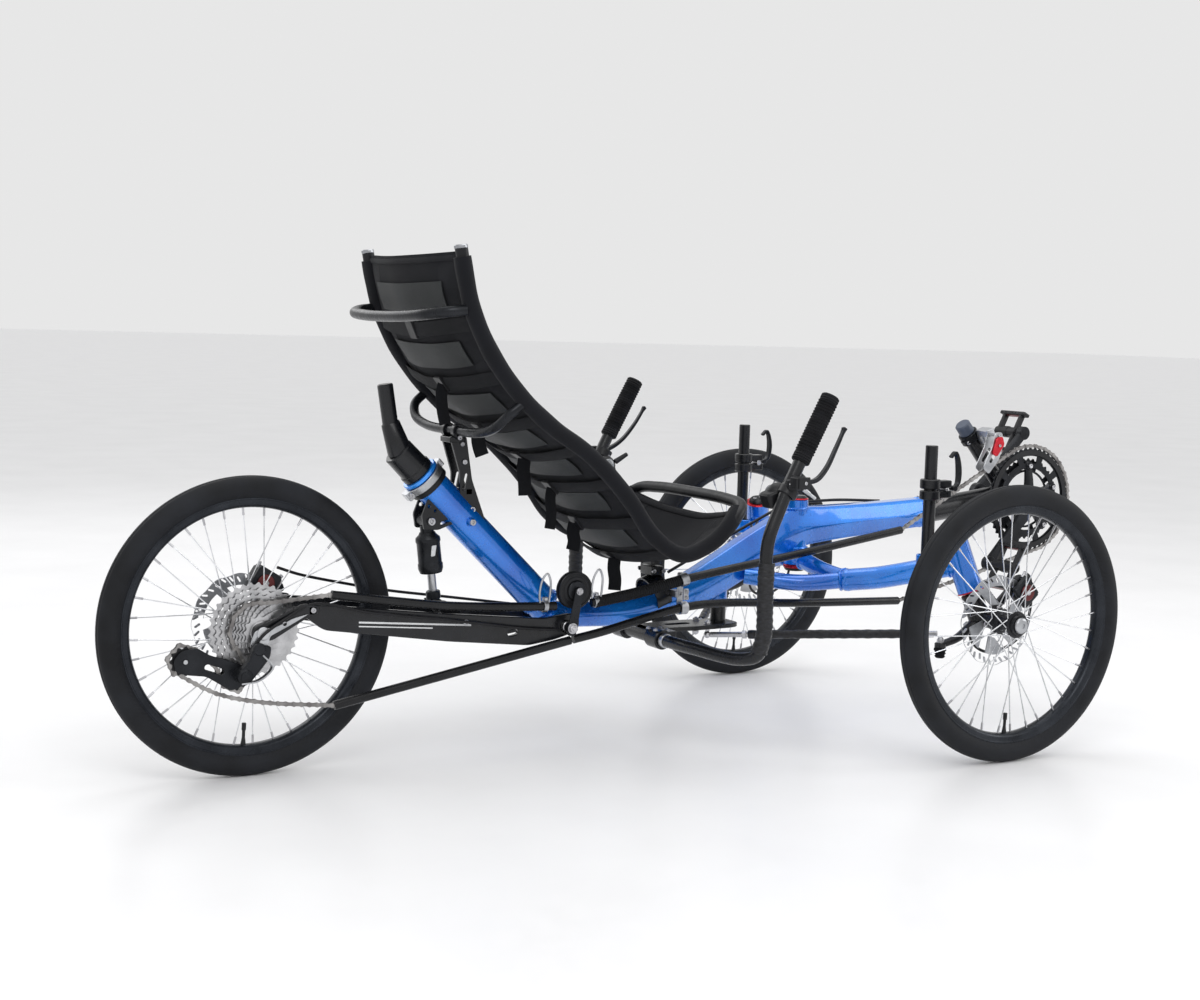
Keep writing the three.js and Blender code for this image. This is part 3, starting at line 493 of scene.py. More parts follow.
def place_copies(tree, source, points, rotation, scale=None):
    """Copies of the Copied object at points, made real and given the Finish material."""
    nodes, links = tree.nodes, tree.links
    info = nodes.new("GeometryNodeObjectInfo")
    links.new(source.outputs["Copied"], info.inputs["Object"])
    copies = nodes.new("GeometryNodeInstanceOnPoints")
    links.new(points, copies.inputs["Points"])
    links.new(info.outputs["Geometry"], copies.inputs["Instance"])
    links.new(rotation, copies.inputs["Rotation"])
    if scale is not None:
        links.new(scale, copies.inputs["Scale"])
    real = nodes.new("GeometryNodeRealizeInstances")
    links.new(copies.outputs[0], real.inputs[0])
    paint = nodes.new("GeometryNodeSetMaterial")
    links.new(real.outputs[0], paint.inputs["Geometry"])
    links.new(source.outputs["Finish"], paint.inputs["Material"])
    links.new(paint.outputs[0], nodes.new("NodeGroupOutput").inputs[0])


def ring_tree():
    """Copies round a wheel axis: local X points outward, Y along the axis."""
    tree, source, keys = new_tree("round the axis", [
        ("Count", "NodeSocketInt"), ("Radius", "NodeSocketFloat"), ("Start Angle", "NodeSocketFloat"),
        ("Centre", "NodeSocketVector"), ("Copied", "NodeSocketObject"), ("Finish", "NodeSocketMaterial")])
    nodes, links = tree.nodes, tree.links
    index = nodes.new("GeometryNodeInputIndex").outputs[0]
    step = math_node(tree, "DIVIDE", 2 * math.pi, source.outputs["Count"])
    angle = math_node(tree, "ADD", math_node(tree, "MULTIPLY", index, step), source.outputs["Start Angle"])
    outward = nodes.new("ShaderNodeCombineXYZ")
    links.new(math_node(tree, "MULTIPLY", math_node(tree, "COSINE", angle), source.outputs["Radius"]),
              outward.inputs["X"])
    links.new(math_node(tree, "MULTIPLY", math_node(tree, "SINE", angle), source.outputs["Radius"]),
              outward.inputs["Z"])
    spot = nodes.new("ShaderNodeVectorMath")
    links.new(outward.outputs[0], spot.inputs[0])
    links.new(source.outputs["Centre"], spot.inputs[1])
    points = nodes.new("GeometryNodePoints")
    links.new(source.outputs["Count"], points.inputs["Count"])
    links.new(spot.outputs[0], points.inputs["Position"])
    euler = nodes.new("ShaderNodeCombineXYZ")
    links.new(math_node(tree, "MULTIPLY", angle, -1), euler.inputs["Y"])
    spin = nodes.new("FunctionNodeEulerToRotation")
    links.new(euler.outputs[0], spin.inputs[0])
    place_copies(tree, source, points.outputs[0], spin.outputs[0])
    return tree, keys


def path_tree():
    """Copies along a line: local X points along it, Y to the Across direction."""
    tree, source, keys = new_tree("along the line", [
        ("Count", "NodeSocketInt"), ("Across", "NodeSocketVector"), ("Copied", "NodeSocketObject"),
        ("Finish", "NodeSocketMaterial")])
    nodes, links = tree.nodes, tree.links
    points = nodes.new("GeometryNodeCurveToPoints")
    points.mode = "COUNT"
    links.new(source.outputs["Geometry"], points.inputs["Curve"])
    links.new(source.outputs["Count"], points.inputs["Count"])
    aim = nodes.new("FunctionNodeAxesToRotation")
    aim.primary_axis = "X"
    aim.secondary_axis = "Y"
    links.new(points.outputs["Tangent"], aim.inputs[0])
    links.new(source.outputs["Across"], aim.inputs[1])
    place_copies(tree, source, points.outputs["Points"], aim.outputs[0])
    return tree, keys


def marks_tree():
    """Copies at marked points: local Z points along each mark's aim, and its size scales the copy."""
    tree, source, keys = new_tree("at the marks", [
        ("Copied", "NodeSocketObject"), ("Finish", "NodeSocketMaterial")])
    nodes, links = tree.nodes, tree.links
    aim = nodes.new("GeometryNodeInputNamedAttribute")
    aim.data_type = "FLOAT_VECTOR"
    aim.inputs["Name"].default_value = "aim"
    size = nodes.new("GeometryNodeInputNamedAttribute")
    size.data_type = "FLOAT"
    size.inputs["Name"].default_value = "size"
    align = nodes.new("FunctionNodeAlignRotationToVector")
    align.axis = "Z"
    links.new(aim.outputs["Attribute"], align.inputs["Vector"])
    place_copies(tree, source, source.outputs["Geometry"], align.outputs[0], size.outputs["Attribute"])
    return tree, keys


RING, PATH, MARKS = ring_tree(), path_tree(), marks_tree()


masters = []


def copied(name, shapes):
    """A small object for the trees to copy, in metres about its own origin."""
    mesh = mesh_from(name, shapes, 40, unit=False)
    mesh.transform(Matrix.Scale(0.001, 4))
    obj = bpy.data.objects.new(name, mesh)
    bpy.context.scene.collection.objects.link(obj)
    masters.append(obj)
    return obj


def grown(name, host, tree_and_keys, values, body, finish, replaces=()):
    """Runs a tree on a host object, keeps the result as a plain mesh, and removes the host."""
    tree, keys = tree_and_keys
    modifier = host.modifiers.new("repeat", "NODES")
    modifier.node_group = tree
    for label, value in {**values, "Finish": finishes[finish][0]}.items():
        modifier[keys[label]] = value
    bpy.context.view_layer.update()
    ready = host.evaluated_get(bpy.context.evaluated_depsgraph_get())
    mesh = bpy.data.meshes.new_from_object(ready)
    bpy.data.objects.remove(host)
    own = name + "_run" if name in frame["nodes"] else name
    mesh.name = own
    obj = bpy.data.objects.new(own, mesh)
    bpy.context.scene.collection.objects.link(obj)
    return settle(obj, body, finish, replaces)


def round_axis(name, body, finish, centre, radius, count, copy, start):
    host = bpy.data.objects.new(name + "_host", bpy.data.meshes.new(name))
    bpy.context.scene.collection.objects.link(host)
    where = (centre[0] / 1000 + AXLE_X, centre[1] / 1000, centre[2] / 1000)
    return grown(name, host, RING,
        {"Count": count, "Radius": radius / 1000, "Start Angle": math.radians(start), "Centre": where,
            "Copied": copy}, body, finish)


def along_line(name, body, finish, line, copy, pitch, replaces=()):
    line = [Vector(p) for p in line]
    curve = bpy.data.curves.new(name, "CURVE")
    curve.dimensions = "3D"
    spline = curve.splines.new("POLY")
    spline.points.add(len(line) - 1)
    for slot_point, p in zip(spline.points, line):
        slot_point.co = (p.x / 1000 + AXLE_X, p.y / 1000, p.z / 1000, 1)
    host = bpy.data.objects.new(name + "_host", curve)
    bpy.context.scene.collection.objects.link(host)
    count = round(sum((q - p).length for p, q in zip(line, line[1:])) / pitch) + 1
    return grown(name, host, PATH, {"Count": count, "Across": (0, 1, 0), "Copied": copy}, body, finish,
        replaces)


def at_marks(name, body, finish, marks, copy):
    """Each mark is (point, aim, size in millimetres)."""
    mesh = bpy.data.meshes.new(name)
    mesh.from_pydata([(p[0] / 1000 + AXLE_X, p[1] / 1000, p[2] / 1000) for p, _, _ in marks], [], [])
    mesh.attributes.new("aim", "FLOAT_VECTOR", "POINT")
    mesh.attributes.new("size", "FLOAT", "POINT")
    mesh.attributes["aim"].data.foreach_set("vector", [
        v for _, aim, _ in marks for v in Vector(aim).normalized()])
    mesh.attributes["size"].data.foreach_set("value", [size for _, _, size in marks])
    host = bpy.data.objects.new(name + "_host", mesh)
    bpy.context.scene.collection.objects.link(host)
    return grown(name, host, MARKS, {"Copied": copy}, body, finish)


def mirrored_line(left, middle=()):
    """A line of points on the left, across the middle and back along the right."""
    return left + list(middle) + [(x, -y, z) for x, y, z in left[::-1]]


def both_sides(marks):
    return marks + [((p[0], -p[1], p[2]), (a[0], -a[1], a[2]), s) for p, a, s in marks]


# ------------------------------------------------------------------ finishes
class Paint:
    """A material being made: a shader with fixed gloss values and patterned colour, roughness and relief."""

    def __init__(self, name, slot, **fixed):
        self.material = bpy.data.materials.new(name)
        self.material.use_nodes = True
        self.nodes = self.material.node_tree.nodes
        self.links = self.material.node_tree.links
        self.shader = self.nodes["Principled BSDF"]
        for label, value in fixed.items():
            self.shader.inputs[label.replace("_", " ")].default_value = value
        coordinates = self.nodes.new("ShaderNodeTexCoord")
        self.place = coordinates.outputs["Object"]
        self.surface = coordinates.outputs["UV"]
        finishes[name] = (self.material, slot)

    def put(self, value, socket):
        if isinstance(value, (int, float, tuple)):
            socket.default_value = value
        else:
            self.links.new(value, socket)

    def noise(self, scale, detail=3.0, stretch=None):
        node = self.nodes.new("ShaderNodeTexNoise")
        node.inputs["Scale"].default_value = scale
        node.inputs["Detail"].default_value = detail
        where = self.place
        if stretch:
            mapping = self.nodes.new("ShaderNodeMapping")
            mapping.inputs["Scale"].default_value = stretch
            self.links.new(where, mapping.inputs["Vector"])
            where = mapping.outputs[0]
        self.links.new(where, node.inputs["Vector"])
        return node.outputs[0]

    def cells(self, scale):
        node = self.nodes.new("ShaderNodeTexVoronoi")
        node.inputs["Scale"].default_value = scale
        self.links.new(self.place, node.inputs["Vector"])
        return node

    def part(self, axis, of=None):
        node = self.nodes.new("ShaderNodeSeparateXYZ")
        self.links.new(of or self.surface, node.inputs[0])
        return node.outputs[axis]

    def sum(self, operation, *values):
        node = self.nodes.new("ShaderNodeMath")
        node.operation = operation
        for value, socket in zip(values, node.inputs):
            self.put(value, socket)
        return node.outputs[0]

    def ramp(self, value, *stops):
        node = self.nodes.new("ShaderNodeValToRGB")
        points = node.color_ramp.elements
        for i, (at, colour) in enumerate(stops):
            point = points[i] if i < 2 else points.new(at)
            point.position = at
            point.color = colour if len(colour) == 4 else (*colour, 1)
        self.put(value, node.inputs[0])
        return node.outputs[0]

    def span(self, value, low, high, out_low, out_high):
        node = self.nodes.new("ShaderNodeMapRange")
        for socket, number in zip(node.inputs[1:5], (low, high, out_low, out_high)):
            socket.default_value = number
        self.put(value, node.inputs[0])
        return node.outputs[0]

    def blend(self, share, one, other):
        node = self.nodes.new("ShaderNodeMix")
        node.data_type = "RGBA"
        self.put(share, node.inputs[0])
        for socket, value in ((node.inputs[6], one), (node.inputs[7], other)):
            self.put((*value, 1) if isinstance(value, tuple) and len(value) == 3 else value, socket)
        return node.outputs[2]

    def coloured(self, value):
        self.links.new(value, self.shader.inputs["Base Color"])

    def rough(self, value):
        self.links.new(value, self.shader.inputs["Roughness"])

    def relief(self, *layers):
        """Layers of (height, depth in metres), the finest last."""
        normal = None
        for height, depth in layers:
            node = self.nodes.new("ShaderNodeBump")
            node.inputs["Strength"].default_value = 1.0
            node.inputs["Distance"].default_value = depth
            self.links.new(height, node.inputs["Height"])
            if normal:
                self.links.new(normal, node.inputs["Normal"])
            normal = node.outputs[0]
        self.links.new(normal, self.shader.inputs["Normal"])


def enamel(name, slot, deep, bright):
    """Bright metallic enamel under a clear coat."""
    paint = Paint(name, slot, Metallic=0.45, Coat_Weight=1.0, Coat_Roughness=0.04, Coat_IOR=1.6)
    flakes = paint.cells(2600)
    flake = paint.span(paint.part(0, flakes.outputs["Color"]), 0, 1, 0.0, 0.35)
    depth = paint.sum("ADD", flake, paint.span(paint.noise(9, 2), 0.35, 0.65, 0.1, 0.6))
    paint.coloured(paint.ramp(depth, (0.0, deep), (1.0, bright)))
    paint.rough(paint.span(paint.noise(60, 3), 0.3, 0.7, 0.24, 0.32))
    paint.relief((paint.noise(420, 2), 0.00004))


def coated(name, slot, dark, light, rough, grain=900, depth=0.00006, metal=0.0, **fixed):
    """Powder coat, moulded plastic or anodised alloy: a fine even grain with faint clouds and rub marks."""
    paint = Paint(name, slot, Metallic=metal, **fixed)
    clouds = paint.noise(22, 4)
    paint.coloured(paint.ramp(clouds, (0.3, dark), (0.75, light)))
    scuffs = paint.noise(70, 5, stretch=(1.0, 5.0, 1.0))
    paint.rough(paint.span(scuffs, 0.35, 0.7, rough - 0.06, rough + 0.1))
    paint.relief((clouds, 0.0001), (paint.noise(grain, 2), depth))


def machined(name, slot, dark, light, rough, scale=160):
    """Bare metal with fine machining lines and dull patches."""
    paint = Paint(name, slot, Metallic=1.0)
    streaks = paint.noise(scale, 4, stretch=(1.0, 1.0, 30.0))
    patches = paint.noise(35, 3)
    paint.coloured(paint.blend(paint.span(patches, 0.3, 0.7, 0.0, 1.0), dark, light))
    paint.rough(paint.sum("ADD", paint.span(streaks, 0.3, 0.7, 0.0, 0.12),
        paint.span(patches, 0.3, 0.7, rough - 0.05, rough + 0.05)))
    paint.relief((streaks, 0.00003))


def woven(name, slot, dark, light, pitch, rough=0.9, depth=0.00025, sheen=0.1):
    """Cloth woven at a pitch in metres, over and under, on the piece's own surface measure."""
    paint = Paint(name, slot, Sheen_Weight=sheen, Sheen_Roughness=0.5, Specular_IOR_Level=0.15)
    turns = 2 * math.pi / pitch
    across, along = paint.part(0), paint.part(1)
    warp = paint.sum("SINE", paint.sum("MULTIPLY", across, turns))
    weft = paint.sum("SINE", paint.sum("MULTIPLY", along, turns))
    over = paint.sum("MULTIPLY", warp, weft)
    threads = paint.sum("MAXIMUM", paint.sum("ABSOLUTE", warp), paint.sum("ABSOLUTE", weft))
    height = paint.sum("ADD", paint.sum("MULTIPLY", over, 0.5), threads)
    fade = paint.noise(14, 4)
    # Lighter on the raised threads and darker in the low parts of the weave: painted shade, scaled by a
    # random fade of the cloth's tone.
    weave_shade_and_fade = paint.sum("MULTIPLY", paint.span(height, -0.2, 1.4, 0.25, 1.0),
        paint.span(fade, 0.3, 0.7, 0.6, 1.0))
    paint.coloured(paint.blend(weave_shade_and_fade, dark, light))
    paint.rough(paint.span(fade, 0.3, 0.7, rough - 0.1, rough))
    paint.relief((paint.noise(26, 4), 0.0012), (height, depth))


def tyre_rubber():
    """Black rubber: cut tread in the middle, fine rings on the side walls, a little road dust."""
    paint = Paint("tyre_rubber", "tyre_rubber", Specular_IOR_Level=0.22)
    around, over = paint.part(0), paint.part(1)
    dust = paint.noise(16, 5)
    paint.coloured(paint.ramp(dust, (0.3, (0.006, 0.0065, 0.008)), (0.8, (0.020, 0.022, 0.027))))
    paint.rough(paint.span(dust, 0.3, 0.75, 0.55, 0.74))
    rings = paint.sum("SINE", paint.sum("MULTIPLY", over, 2 * math.pi / 0.0016))
    cuts = paint.sum("SINE", paint.sum("MULTIPLY", paint.sum("ADD", around, paint.sum("MULTIPLY", over, 0.8)),
                                       2 * math.pi / 0.009))
    tread = paint.sum("GREATER_THAN", cuts, 0.78)
    crown = paint.sum("LESS_THAN", paint.sum("ABSOLUTE", paint.sum("SUBTRACT", over, 0.0495)), 0.012)
    paint.relief((paint.sum("MULTIPLY", paint.sum("MULTIPLY", tread, crown), -1.0), 0.0006),
                 (paint.sum("MULTIPLY", rings, paint.sum("SUBTRACT", 1.0, crown)), 0.00006),
                 (paint.noise(1400, 2), 0.00005))


def ribbed_rubber(name, slot, pitch, depth):
    """Soft rubber with ribs round it."""
    paint = Paint(name, slot, Specular_IOR_Level=0.2)
    along = paint.part(1)
    wave = paint.sum("SINE", paint.sum("MULTIPLY", along, 2 * math.pi / pitch))
    soil = paint.noise(40, 4)
    paint.coloured(paint.ramp(soil, (0.3, (0.004, 0.004, 0.005)), (0.8, (0.014, 0.015, 0.018))))
    paint.rough(paint.span(soil, 0.3, 0.7, 0.62, 0.8))
    paint.relief((wave, depth), (paint.noise(900, 2), 0.00008))


def wrapped_tape():
    """Wrinkled cloth tape wound round a tube, each turn's edge showing."""
    paint = Paint("wrinkled_tape", "cable_rubber", Specular_IOR_Level=0.4)
    wound = paint.sum("ADD", paint.sum("MULTIPLY", paint.part(1), 1 / 0.028),
                      paint.sum("MULTIPLY", paint.part(0), 1 / 0.09))
    edge = paint.sum("FRACT", wound)
    crease_relief_and_shade = paint.noise(120, 5, stretch=(1.0, 1.0, 2.2))
    # Colour darker in the low parts of the wrinkles and lighter on their ridges: painted shade from the same
    # crease pattern that gives the relief.
    paint.coloured(paint.ramp(crease_relief_and_shade, (0.35, (0.004, 0.004, 0.005)), (0.75, (0.020, 0.021, 0.026))))
    paint.rough(paint.span(crease_relief_and_shade, 0.3, 0.7, 0.3, 0.5))
    paint.relief((edge, 0.0007), (crease_relief_and_shade, 0.0022))


enamel("blue_enamel", "frame_blue", (0.0, 0.060, 0.42), (0.0, 0.27, 0.95))
enamel("blue_anodised", "frame_blue", (0.0, 0.10, 0.75), (0.02, 0.35, 1.0))
coated("black_powder", "black_paint", (0.003, 0.0035, 0.005), (0.009, 0.010, 0.013), 0.30,
    Specular_IOR_Level=0.3, Coat_Weight=0.25, Coat_Roughness=0.18)
coated("satin_black", "black_paint", (0.004, 0.0045, 0.006), (0.011, 0.012, 0.015), 0.38,
    Specular_IOR_Level=0.3)
coated("black_alloy", "black_alloy", (0.010, 0.011, 0.013), (0.026, 0.028, 0.033), 0.30, grain=1500,
    metal=0.5, Specular_IOR_Level=0.3)
coated("rim_black", "rim_black", (0.010, 0.012, 0.016), (0.030, 0.034, 0.042), 0.28, grain=1400, metal=0.5,
       Specular_IOR_Level=0.3)
coated("hub_black", "hub_black", (0.010, 0.010, 0.012), (0.026, 0.028, 0.033), 0.26, grain=1600, metal=0.6)
coated("black_plastic", "black_plastic", (0.005, 0.005, 0.006), (0.014, 0.015, 0.018), 0.42, grain=1100,
       depth=0.0001, Specular_IOR_Level=0.32)
coated("guide_plastic", "guide_tube", (0.004, 0.004, 0.005), (0.011, 0.012, 0.014), 0.26, grain=700,
    Specular_IOR_Level=0.35)
coated("window_plastic", "black_plastic", (0.16, 0.17, 0.18), (0.30, 0.31, 0.33), 0.2, Coat_Weight=0.8)
coated("slate_cap", "black_plastic", (0.05, 0.065, 0.10), (0.11, 0.135, 0.19), 0.42)
coated("maroon_alloy", "black_alloy", (0.09, 0.018, 0.020), (0.17, 0.045, 0.045), 0.35, metal=0.7)
coated("red_anodised", "black_alloy", (0.45, 0.01, 0.02), (0.75, 0.03, 0.05), 0.28, metal=0.5)
coated("cable_cover", "cable_rubber", (0.004, 0.004, 0.005), (0.012, 0.012, 0.015), 0.34, grain=1300,
    Specular_IOR_Level=0.3)
coated("white_print", "alloy", (0.60, 0.61, 0.63), (0.78, 0.79, 0.80), 0.5)
machined("satin_alloy", "alloy", (0.36, 0.37, 0.39), (0.58, 0.59, 0.61), 0.28)
machined("rotor_steel", "cassette_steel", (0.30, 0.31, 0.33), (0.50, 0.51, 0.53), 0.30, scale=220)
machined("cog_steel", "cassette_steel", (0.34, 0.34, 0.35), (0.60, 0.60, 0.61), 0.26, scale=240)
machined("chain_steel", "chain_steel", (0.16, 0.15, 0.15), (0.42, 0.41, 0.40), 0.34, scale=300)
machined("spoke_steel", "cassette_steel", (0.62, 0.63, 0.65), (0.82, 0.83, 0.85), 0.2, scale=260)
machined("bolt_steel", "cassette_steel", (0.36, 0.36, 0.38), (0.62, 0.62, 0.64), 0.24, scale=400)
woven("sling_mesh", "seat_mesh", (0.002, 0.002, 0.003), (0.014, 0.015, 0.019), 0.0032, depth=0.0004,
    sheen=0.04)
woven("sling_panel", "seat_mesh", (0.006, 0.007, 0.0075), (0.034, 0.038, 0.040), 0.0022, rough=0.6,
    sheen=0.08)
woven("edge_cloth", "seat_mesh", (0.003, 0.003, 0.004), (0.013, 0.014, 0.018), 0.0014, depth=0.00012,
    sheen=0.06)
woven("webbing", "seat_mesh", (0.002, 0.002, 0.003), (0.013, 0.014, 0.017), 0.0026, depth=0.0003, sheen=0.05)
woven("thread", "seat_mesh", (0.03, 0.03, 0.035), (0.10, 0.10, 0.11), 0.0006, sheen=0.1)
tyre_rubber()
ribbed_rubber("grip_rubber", "grip_rubber", 0.0042, 0.0007)
ribbed_rubber("boot_rubber", "cable_rubber", 0.0030, 0.0005)
wrapped_tape()


# ------------------------------------------------------------------ small parts that repeat
socket_bolt = copied("socket_bolt", [
    plate(ring_outline((0, 0), 1.0, 20), 0.0, 0.85, [ring_outline((0, 0), 0.5, 6)], chamfer=0.12,
        place=lying), bar((0, 0, 0), (0, 0, 0.35), 0.7, chamfer=0.05, segments=12)])
hex_nut = copied("hex_nut", [
    bar((0, 0, 0), (0, 0, 0.15), 1.25, chamfer=0.04, segments=24),
    bar((0, 0, 0.1), (0, 0, 0.85), 1.0, chamfer=0.12, segments=6),
    bar((0, 0, 0.7), (0, 0, 1.15), 0.5, chamfer=0.1, segments=16)])

LINK_SIDE = [
    (-8.1, 0), (-7.2, 3.0), (-5.0, 3.8), (-2.0, 2.6), (2.0, 2.6), (5.0, 3.8), (7.2, 3.0), (8.1, 0),
    (7.2, -3.0), (5.0, -3.8), (2.0, -2.6), (-2.0, -2.6), (-5.0, -3.8), (-7.2, -3.0)]


def link_plate(x, y):
    section = [(a * 1.2 + x, b) for a, b in LINK_SIDE]
    return plate(section, y - 0.45, y + 0.45, chamfer=0.15)


chain_link = copied("chain_link", [
    link_plate(-6.35, 2.8), link_plate(-6.35, -2.8), link_plate(6.35, 1.8), link_plate(6.35, -1.8),
    bar((0, -3.4, 0), (0, 3.4, 0), 2.1, chamfer=0.3, segments=10),
    bar((12.7, -3.4, 0), (12.7, 3.4, 0), 2.1, chamfer=0.3, segments=10)])


def spoke_and_nipple(hub_y, hub_radius, rim_radius, rim_y, swing):
    """A spoke and its nipple about the rim end: X is outward, Y along the axle; swing turns the hub end."""
    a = math.radians(swing)
    hub = Vector((hub_radius * math.cos(a) - rim_radius, hub_y, -hub_radius * math.sin(a)))
    rim = Vector((0, rim_y, 0))
    short = rim.lerp(hub, 0.075)
    return bar(hub, short, 1.0, chamfer=0.2, segments=8), bar(short, rim.lerp(hub, -0.005), 1.9,
        chamfer=0.3, segments=8)


def laced(name, body, centre, flanges, per_side):
    """Crossed spokes with their nipples, half of each side leaning forward and half back."""
    step = 360 / per_side
    for label, flange, offset in (("outer", flanges[1], 0.0), ("inner", flanges[0], step / 2)):
        for way, swing, shift in (("leading", 62, 0.0), ("trailing", -62, step)):
            wire, nipple = spoke_and_nipple(flange, 19.5, 191.5, 2.5 * (1 if flange > 0 else -1), swing)
            spoke = copied("spoke", [wire])
            ends = copied("nipple", [nipple])
            start = offset + shift + 3
            round_axis(f"{name}_{label}_{way}", body, "spoke_steel", centre, 191.5, per_side // 2, spoke,
                start)
            round_axis(f"{name}_{label}_{way}_nipples", body, "bolt_steel", centre, 191.5, per_side // 2,
                ends, start)


# ------------------------------------------------------------------ wheels
TYRE_HALF = [
    (241, 0.6), (240.9, 3.6), (240.1, 4.2), (240.1, 5.4), (240.4, 6.2), (239.4, 9.6), (237.0, 13.0),
    (233.0, 16.2), (228.0, 18.3), (222.5, 19.0), (217.0, 18.5), (212.0, 16.4), (208.6, 14.2), (207.2, 13.2),
    (205.0, 12.4)]
RIM_HALF = [
    (206.6, 11.4), (207.4, 12.4), (206.4, 13.6), (204.6, 13.4), (203.8, 12.6), (197.0, 12.2), (194.2, 10.8),
    (191.6, 7.4), (190.6, 3.2)]


def both_flanks(half):
    return [(r, -y) for r, y in half] + [(r, y) for r, y in reversed(half)]


def valve(centre, y, angle):
    """A rubber valve stem with its cap, pointing at the hub."""
    start, end = polar(centre, 191.5, angle, y), polar(centre, 158, angle, y)
    cap = polar(centre, 168, angle, y)
    return [
        bar(start, end, 2.6, chamfer=0.4, segments=16),
        bar(start, polar(centre, 180, angle, y), 4.4, 2.8, 0.3, 16),
        bar(cap, polar(centre, 156, angle, y), 3.6, chamfer=0.6, segments=16)]


def rotor(centre, y):
    """A wavy slotted brake disc: rim band with slots, swept arms and a bolt ring."""
    lugs = 6
    steps = 120
    wavy = [(78.6 + 1.3 * math.cos(12 * 2 * math.pi * i / steps)) for i in range(steps)]
    outer = [
        (w * math.cos(2 * math.pi * i / steps), w * math.sin(2 * math.pi * i / steps))
        for i, w in enumerate(wavy)]
    slots = []
    for i in range(36):
        a = 2 * math.pi * i / 36
        reach = 70.0 + (i % 3) * 2.0
        p = ((reach - 3.4) * math.cos(a), (reach - 3.4) * math.sin(a))
        q = ((reach + 3.0) * math.cos(a + 0.055), (reach + 3.0) * math.sin(a + 0.055))
        slots.append(slot_outline(p, q, 1.5, 3))
    for i in range(lugs):
        start, end = 360 * i / lugs + 9, 360 * (i + 1) / lugs - 9
        window = []
        for k in range(9):
            a = math.radians(start + (end - start) * k / 8)
            window.append((60.5 * math.cos(a), 60.5 * math.sin(a)))
        for k in range(7):
            a = math.radians(end - 26 + (start + 20 - end - 4) * k / 6)
            window.append((31 * math.cos(a), 31 * math.sin(a)))
        slots.append(window)
    slots.append(ring_outline((0, 0), 17, 30))
    disc = plate(outer, y - 0.95, y + 0.95, slots, chamfer=0.25)
    return disc.moved(Matrix.Translation(Vector((centre[0], 0, centre[2]))))


def wheel(body, centre, side, flanges, rotor_y, ends, bore, tag, lacing):
    """Tyre, rim, spokes, hub shell and brake disc about one axle."""
    tyre = turned(both_flanks(TYRE_HALF), centre, segments=160, ring=True)
    rim = turned(both_flanks(RIM_HALF) + [(202, 0)], centre, segments=160, ring=True)
    piece(f"{tag}_tyre{side}", body, "tyre_rubber", [tyre], [f"{tag}_tyre{side}"], sharp=60)
    piece(f"{tag}_rim{side}", body, "rim_black", [rim], [f"{tag}_rim{side}"], sharp=30)
    piece(f"{tag}_valve{side}", body, "black_plastic", valve(centre, centre[1], 268))
    laced(f"{tag}_spokes{side}", body, centre, flanges, lacing)
    s = 1 if flanges[1] > flanges[0] else -1
    low, high = flanges
    shell = [
        (bore, ends[0]), (19, ends[0]), (19.5, low - 4 * s), (23.0, low - 3 * s), (23.4, low - s),
        (23.0, low + s), (17.5, low + 3 * s), (14.2, low + 9 * s), (14.2, high - 9 * s),
        (17.5, high - 3 * s), (23.0, high - s), (23.4, high + s * 0.4), (23.0, high + 1.8 * s),
        (18.5, high + 3 * s), (17.6, ends[1]), (bore, ends[1])]
    hub = turned(shell, centre, segments=56, ring=True)
    piece(f"{tag}_hub{side}", body, "hub_black", [hub], [f"{tag}_hub{side}"], sharp=28)
    disc_y = centre[1] + rotor_y
    piece(f"{tag}_rotor{side}", body, "rotor_steel", [rotor(centre, disc_y)], sharp=30)
    outward = 1 if rotor_y > 0 else -1
    marks = [(polar(centre, 22, 60 * i + 15, disc_y + outward * 0.9), (0, outward, 0), 3.4) for i in range(6)]
    at_marks(f"{tag}_rotor_bolts{side}", body, "bolt_steel", marks, socket_bolt)


for wheel_side, mirror in (("_left", 1), ("_right", -1)):
    middle = (0, HALF_TRACK * mirror, WHEEL_RADIUS)
    wheel("front_wheel" + wheel_side, middle, wheel_side, (-29 * mirror, 10 * mirror), -41 * mirror,
          (-44 * mirror, 20 * mirror), 10.6, "front", 18)
wheel("rear_wheel", REAR_HUB, "", (30, -22), 43, (48, -27.5), 6.6, "rear", 18)


# ------------------------------------------------------------------ blue frame
def faceted(high, wide, sharpness, sides=60):
    """A six-faced tube section with a ridge at each side; sharpness sets how crisp the ridges are."""
    section = []
    for i in range(sides):
        a = 2 * math.pi * i / sides
        total = sum(max(0.0, math.cos(a - math.radians(30 + 60 * k))) ** sharpness for k in range(6))
        r = total ** (-1 / sharpness)
        section.append((wide * r * math.cos(a) * 0.93, high * r * math.sin(a) * 0.98))
    return section


def eased_rows(rows, per):
    """Rows of numbers with smooth in-between rows."""
    result = []
    last = len(rows) - 1
    for i in range(last):
        a, b, c, d = rows[max(i - 1, 0)], rows[i], rows[i + 1], rows[min(i + 2, last)]
        for k in range(per):
            t = k / per
            result.append([0.5 * (2 * q + (r - p) * t + (2 * p - 5 * q + 4 * r - s) * t * t
                                  + (3 * q - p - 3 * r + s) * t**3) for p, q, r, s in zip(a, b, c, d)])
    result.append(list(rows[-1]))
    return result


